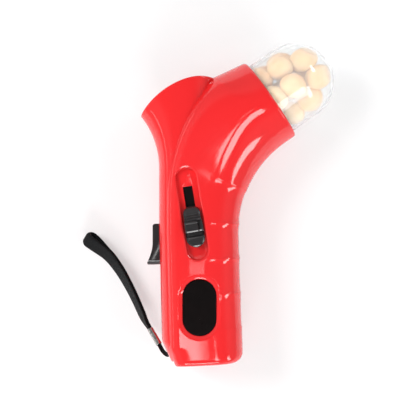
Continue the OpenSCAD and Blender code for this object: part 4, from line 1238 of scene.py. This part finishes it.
# ---- trigger ----
class LAUNCHER_OT_trigger(bpy.types.Operator):
    """Trigger lever with rounded edges and a foot sloped front and back"""
    bl_idname = "launcher.trigger"
    bl_label = "Trigger lever"

    def execute(self, context):
        # From the pin: round the head, down the finger's face to the foot, and up past the boss to the catch
        face = [(-8.5 - 3.2 * max(0, (q - 0.45) / 0.55) ** 1.9, 1.2 - 21.4 * q) for q in np.linspace(0, 1, 26)]
        outline = [(-7.6, 2.55), (-8.15, 2.3), (-8.45, 1.8), *face,
                   (-11.75, -20.9), (-11.6, -21.5), (-11.2, -21.9), (-10.5, -22.0),
                   (-2.2, -21.4), (-0.6, -18), (0.4, -4), (1.6, -3), (3.0, -1.6), (3.4, 0),
                   (3.0, 1.6), (2.0, 2.6), (2, 6), (4.6, 7), (4.6, 9.4), (-1, 9.4), (-1, 3.2), (-1.6, 2.8),
                   (-6.9, 2.8)]
        flat = np.array(outline) + trigger_c
        lever = loft("trigger_blade", [level(flat, h) for h in (-trigger_t / 2, trigger_t / 2)])
        carve(lever, uprights("eye", trigger_pin_r + 0.05, [trigger_c], -9, 9, 40))
        carve(lever, bar("spring_seat", 2.7, (return_x, return_y, 0), (return_x + 20, return_y, 0)))
        # The foot slopes to the front and the back, so its edge shines as a band
        slope = [(3.4, 6), (3.4, 4.52), (1.5, 3.4), (0.6, 1.6), (0.2, 0), (-3, 0), (-3, 6)]
        for k in (-1, 1):
            rings = [[(x, trigger_foot + y, k * h) for y, h in slope] for x in (-60, -28)]
            carve(lever, loft("foot_slope", rings, 1))
        bevel = lever.modifiers.new("edges", "BEVEL")
        bevel.width, bevel.segments = 0.0005, 4
        bevel.limit_method, bevel.angle_limit = "ANGLE", math.radians(50)
        settled(lever)
        shaded(lever, 35)
        return worn(lever, "satin_black_abs", "trigger", "trigger_lever")


# ---- cup and treats ----
class LAUNCHER_OT_cup(bpy.types.Operator):
    """Clear cup with a round end, turned with rounded edges"""
    bl_idname = "launcher.cup"
    bl_label = "Clear cup"

    def execute(self, context):
        inner, top = cup_r - cup_wall, cup_skirt + cup_straight
        straight = np.linspace(2, top - 0.5, 14)
        out, back = ([(r * math.cos(a), top + r * math.sin(a)) for a in np.linspace(0, math.pi / 2, n)]
                     for r, n in ((cup_r, 48), (inner, 44)))
        profile = [(inner + 0.4, 0), (cup_r - 0.4, 0), (cup_r - 0.1, 0.12), (cup_r, 0.4)]
        profile += [(cup_r, h) for h in straight] + out + back[::-1] + [(inner, h) for h in straight[::-1]]
        profile += [(inner, 0.4), (inner + 0.1, 0.12), (inner + 0.4, 0)]
        centre, axis = HOPPER_AXIS
        cup = turned("clear_cup", profile, centre - cup_skirt * axis, axis, 128, 0, False)
        tidied(cup, outwards=True)
        # One lamp lights only the cup, so that the red bend keeps its own two streaks
        lit = bpy.data.collections.new("lit_by_cup_lamp")
        lit.objects.link(cup)
        bpy.data.objects["cup_lamp"].light_linking.receiver_collection = lit
        return worn(cup, "clear_polystyrene", "cup", "treat_cup")


def loose_parts(node):
    """Corner points of each separate solid of a CAD node, in metres."""
    bm = bmesh.new()
    bm.from_mesh(node.data)
    bmesh.ops.remove_doubles(bm, verts=bm.verts, dist=1e-6)
    left, parts = set(bm.verts), []
    while left:
        grown, edge = [], [left.pop()]
        while edge:
            v = edge.pop()
            grown.append(v.co.copy())
            near = {e.other_vert(v) for e in v.link_edges} & left
            left -= near
            edge += near
        parts.append(np.array(grown))
    bm.free()
    return sorted(parts, key=lambda p: tuple(np.round(p.mean(0), 4)))


def kept_inside(points):
    """Draws the points of a treat in to just short of the cup's inner wall and above the funnel."""
    room, (centre, axis) = (cup_r - cup_wall - 0.25) * 0.001, HOPPER_AXIS
    start = placed(centre)
    spine = start + np.clip((points - start) @ axis, None, cup_straight * 0.001)[:, None] * axis
    off = points - spine
    far = np.linalg.norm(off, axis=1)
    return spine + off * np.minimum(1, room / np.maximum(far, 1e-9))[:, None]


class LAUNCHER_OT_treats(bpy.types.Operator):
    """Baked treats in the cup, each with its own bun shape and tint"""
    bl_idname = "launcher.treats"
    bl_label = "Treats"

    def execute(self, context):
        shape = context.scene.launcher_treats
        chance = np.random.default_rng(shape.seed)
        bm = bmesh.new()
        bmesh.ops.create_icosphere(bm, subdivisions=5, radius=1)
        sphere = np.array([v.co for v in bm.verts])
        faces = np.array([[v.index for v in f.verts] for f in bm.faces])
        bm.free()
        points, all_faces, bake = [], [], []
        for i, part in enumerate(loose_parts(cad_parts["treats"])):
            centre = (part.max(0) + part.min(0)) / 2
            centred = part - part.mean(0)
            short = np.linalg.eigh(centred.T @ centred)[1][:, 0]
            # The long way lies in the bun's plane, nearest to a direction a little off the table's x
            turn = chance.uniform(-0.7, 0.7)
            b = np.array([math.cos(turn), math.sin(turn), 0])
            b = unit(b - short * (short @ b))
            axes = np.array([short, np.cross(b, short), b])
            egg = chance.uniform(-0.12, 0.12)
            grown = [chance.uniform(*span) for span in ((1.04, 1.12), (1.02, 1.12), (1.2, 1.34))]
            size = np.abs((part - centre) @ axes.T).max(0) * grown
            p = sphere.copy()
            fullness = chance.uniform(2.15, 2.5)
            r = np.abs(p[:, 0]) ** fullness + (p[:, 1] ** 2 + p[:, 2] ** 2) ** (fullness / 2)
            p *= (r ** (-1 / fullness))[:, None]
            for _ in range(5):
                way = unit(chance.normal(size=3))
                p *= (1 + shape.uneven * chance.uniform(-1, 0.4) * ease((sphere @ way - 0.2) / 0.8))[:, None]
            p[:, 2] *= 1 + egg * p[:, 1]
            points.append(kept_inside(centre + p * size @ axes))
            outwards = 1 if np.linalg.det(axes) > 0 else -1
            all_faces += (faces[:, ::outwards] + i * len(sphere)).tolist()
            bake += [float(0.7 - chance.uniform(0, 0.7))] * len(sphere)
        heap = mesh_object("biscuit_treats", np.concatenate(points), all_faces, world=False)
        heap.data.attributes.new("bake", "FLOAT", "POINT").data.foreach_set("value", bake)
        return worn(heap, "baked_biscuit", "cup", "treats")


# ---- springs and screws, by geometry nodes ----
def node_group(name, sockets):
    """A geometry node tree with named inputs, and their sockets inside it."""
    tree = bpy.data.node_groups.new(name, "GeometryNodeTree")
    tree.interface.new_socket("Geometry", in_out="INPUT", socket_type="NodeSocketGeometry")
    for label, kind, value in sockets + [("Finish", "Material", None)]:
        socket = tree.interface.new_socket(label, in_out="INPUT", socket_type="NodeSocket" + kind)
        if value is not None:
            socket.default_value = value
    tree.interface.new_socket("Geometry", in_out="OUTPUT", socket_type="NodeSocketGeometry")
    return tree, add(tree, "NodeGroupInput").node.outputs


def ended(tree, given, shape):
    """Ends a tree: real geometry, with the given finish."""
    whole = add(tree, "GeometryNodeRealizeInstances", {"Geometry": shape})
    done = add(tree, "GeometryNodeSetMaterial", {"Geometry": whole, "Material": given["Finish"]})
    add(tree, "NodeGroupOutput", {"Geometry": done})
    return tree


def wound_wire_tree():
    """A round wire wound along z, with its turns closer at both ends."""
    tree, g = node_group("wound_wire", [
        ("Radius", "Float", 0.005), ("Wire radius", "Float", 0.0006), ("Length", "Float", 0.06),
        ("Turns", "Float", 10.0), ("End squeeze", "Float", 0.6), ("Place", "Vector", None),
        ("Turn", "Rotation", None)])
    spiral = add(tree, "GeometryNodeCurveSpiral", {"Resolution": 40, "Rotations": g["Turns"],
                 "Start Radius": g["Radius"], "End Radius": g["Radius"], "Height": g["Length"]})
    share = add(tree, "ShaderNodeSeparateXYZ", {0: add(tree, "GeometryNodeInputPosition")}, "Z")
    # Each point moves down by squeeze * length * sin(2 pi * share) / (2 pi)
    for how, by in (("DIVIDE", g["Length"]), ("MULTIPLY", 2 * math.pi), ("SINE", 0.0),
                    ("MULTIPLY", g["End squeeze"]), ("MULTIPLY", g["Length"]),
                    ("MULTIPLY", -1 / (2 * math.pi))):
        share = add(tree, "ShaderNodeMath", {0: share, 1: by}, operation=how)
    back = add(tree, "ShaderNodeCombineXYZ", {"Z": share})
    moved = add(tree, "GeometryNodeSetPosition", {"Geometry": spiral, "Offset": back})
    round_wire = add(tree, "GeometryNodeCurvePrimitiveCircle", {"Resolution": 14, "Radius": g["Wire radius"]})
    wire = add(tree, "GeometryNodeCurveToMesh", {
        "Curve": moved, "Profile Curve": round_wire, "Fill Caps": True})
    return ended(tree, g, add(tree, "GeometryNodeTransform", {
        "Geometry": wire, "Translation": g["Place"], "Rotation": g["Turn"]}))


def screws_tree():
    """One screw at each point of the given mesh, each with its cross at its own turn."""
    tree, g = node_group("screw_set", [("Screw", "Object", None)])
    screw = add(tree, "GeometryNodeObjectInfo", {"Object": g["Screw"]}, "Geometry")
    spots = add(tree, "GeometryNodeMeshToPoints", {"Mesh": g["Geometry"]})
    turn = add(tree, "FunctionNodeRandomValue", {2: 0.0, 3: 3.1, "Seed": 4}, 1, data_type="FLOAT")
    spin = add(tree, "ShaderNodeCombineXYZ", {"Z": turn})
    return ended(tree, g, add(tree, "GeometryNodeInstanceOnPoints", {
        "Points": spots, "Instance": screw, "Rotation": spin}))


def grown_by(tree, name, values, points=((0, 0, 0),)):
    """A plain mesh from a node tree, with its inputs set by their identifiers."""
    piece = mesh_object(name, points, [], slots=0, world=False)
    change = piece.modifiers.new("grow", "NODES")
    change.node_group = tree
    for socket in tree.interface.items_tree:
        if socket.name in values:
            change[socket.identifier] = values[socket.name]
    settled(piece)
    shaded(piece, 40)
    return piece


class LAUNCHER_OT_springs(bpy.types.Operator):
    """Drive spring and trigger spring, wound from round wire"""
    bl_idname = "launcher.springs"
    bl_label = "Springs"

    def execute(self, context):
        tree, finish = wound_wire_tree(), "drawn_spring_wire"

        def wound(name, coil_r, wire_t, long, turns, squeeze, place, turn):
            return grown_by(tree, name, {
                "Radius": coil_r / 1000, "Wire radius": wire_t / 2000, "Length": (long - wire_t) / 1000,
                "Turns": float(turns), "End squeeze": squeeze, "Place": tuple(placed(place)), "Turn": turn,
                "Finish": look(finish)})

        s0 = barrel_s0 + 3.6
        long = striker_s1 - 3 - s0 - 0.1
        drive = wound("wound_drive_spring", spring_r, spring_wire, long, spring_turns, 0.55,
                      on_barrel(s0 + spring_wire / 2), (-math.pi / 2, 0, barrel_tilt))
        x0, wire_t = return_x + 0.05, 0.6
        back = wound("wound_return_spring", 1.9, wire_t, barrel_side_x - 0.1 - x0, 5, 0.3,
                     (x0 + wire_t / 2, return_y, 0), (0, math.pi / 2, 0))
        # Each spring, its CAD node, the part that it pushes, and its fixed and moving ends; only its finish and
        # place are set here
        spans = ((drive, "drive_spring", "striker", on_barrel(s0 + 1.6), on_barrel(s0 + long - 1.6)),
                 (back, "trigger_spring", "trigger", (barrel_side_x - 0.9, return_y, 0),
                  (x0 + 0.5, return_y, 0)))
        for piece, node, pushed, fixed_end, moving_end in spans:
            dressed(piece, finish)
            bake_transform(piece)
            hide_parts(node)
        return {"FINISHED"}


class LAUNCHER_OT_screws(bpy.types.Operator):
    """Casing screws with domed, cross-recessed heads"""
    bl_idname = "launcher.screws"
    bl_label = "Casing screws"

    def execute(self, context):
        # The head looks down out of its counterbore, and the shaft runs up into the front shell
        profile = [(0, 22), (0.6, 21.4), (1.4, 20.2), (1.4, 0.2), (1.5, 0), (2.7, -0.05), (2.8, -0.3),
                   (2.72, -0.9), (2.4, -1.45), (1.8, -1.8), (1.0, -1.96), (0, -2)]
        ring = hoop((1, 0, 0), (0, 1, 0), 32)
        rings = [(ring * max(r, 1e-4) + h * UP) * 0.001 for r, h in profile]
        screw = loft("one_screw", rings, world=False)
        for along, wide in ((1.6, 0.32), (0.32, 1.6)):
            top = [(-along, -wide), (along, -wide), (along, wide), (-along, wide)]
            low = [(0.45 * x, 0.8 * y) for x, y in top]
            cutter = np.array([[(*q, -0.75) for q in low], [(*q, -2.4) for q in top]]) * 0.001
            carve(screw, loft("driver", cutter, world=False))
        points = [placed((x, y, -head_seat)) for x, y in screw_places]
        finish = "zinc_plated_steel"
        screws = grown_by(screws_tree(), "domed_screws", {"Screw": screw, "Finish": look(finish)}, points)
        dropped(screw)
        return worn(screws, finish, "casing", "casing_screws")


class LAUNCHER_OT_inner_parts(bpy.types.Operator):
    """Finishes of the parts whose CAD shape stays"""
    bl_idname = "launcher.inner_parts"
    bl_label = "Inner parts"

    def execute(self, context):
        finishes = {
            "milky_grey_polypropylene": {"launch_barrel": "barrel_grey", "feed_funnel": "funnel_grey"},
            "satin_black_abs": {"barrel_end_plug": "plug_black", "slider_stem": "slider_black"},
            "slick_grey_acetal": {"striker": "striker_grey"},
            "dull_black_acetal": {"dust_strip": "slider_black"},
            "soft_black_rubber": {"striker_pad": "seal_rubber", "cup_seal": "seal_rubber"},
            "zinc_plated_steel": {"slider_screw": "steel", "trigger_pin": "steel", "strap_pin": "steel"}}
        for finish, parts in finishes.items():
            for name, slot in parts.items():
                dressed(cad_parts[name], finish)
        return {"FINISHED"}


class LAUNCHER_PT_panel(bpy.types.Panel):
    """Builds the launcher piece by piece"""
    bl_idname = "LAUNCHER_PT_panel"
    bl_label = "Treat launcher"
    bl_space_type = "VIEW_3D"
    bl_region_type = "UI"
    bl_category = "Launcher"

    def draw(self, context):
        for name in GROUPS:
            box = self.layout.box()
            box.label(text=name.split("_")[1].capitalize())
            values = getattr(context.scene, name)
            for size in values.__annotations__:
                box.prop(values, size)
        for maker in MAKERS:
            self.layout.operator(maker.bl_idname)


GROUPS = {"launcher_colours": LauncherColours, "launcher_casing": CasingSizes, "launcher_strap": StrapSizes,
          "launcher_treats": TreatShape, "launcher_stage": StageSizes}
MAKERS = (LAUNCHER_OT_stage, LAUNCHER_OT_strap, LAUNCHER_OT_casing, LAUNCHER_OT_pad, LAUNCHER_OT_slider,
          LAUNCHER_OT_trigger, LAUNCHER_OT_cup, LAUNCHER_OT_treats, LAUNCHER_OT_springs, LAUNCHER_OT_screws,
          LAUNCHER_OT_inner_parts)


def register():
    for name, group in GROUPS.items():
        bpy.utils.register_class(group)
        setattr(bpy.types.Scene, name, PointerProperty(type=group))
    for maker in (*MAKERS, LAUNCHER_PT_panel):
        bpy.utils.register_class(maker)


def unregister():
    for maker in (LAUNCHER_PT_panel, *reversed(MAKERS)):
        bpy.utils.unregister_class(maker)
    for name, group in reversed(GROUPS.items()):
        delattr(bpy.types.Scene, name)
        bpy.utils.unregister_class(group)


def main():
    register()
    bpy.ops.launcher.stage()
    bpy.ops.launcher.strap()
    bpy.ops.launcher.casing()
    bpy.ops.launcher.pad()
    bpy.ops.launcher.slider()
    bpy.ops.launcher.trigger()
    bpy.ops.launcher.cup()
    bpy.ops.launcher.treats()
    bpy.ops.launcher.springs()
    bpy.ops.launcher.screws()
    bpy.ops.launcher.inner_parts()
    for blank in ("unset_0", "unset_1"):
        bpy.data.materials.remove(bpy.data.materials[blank])


if __name__ == "__main__":
    main()
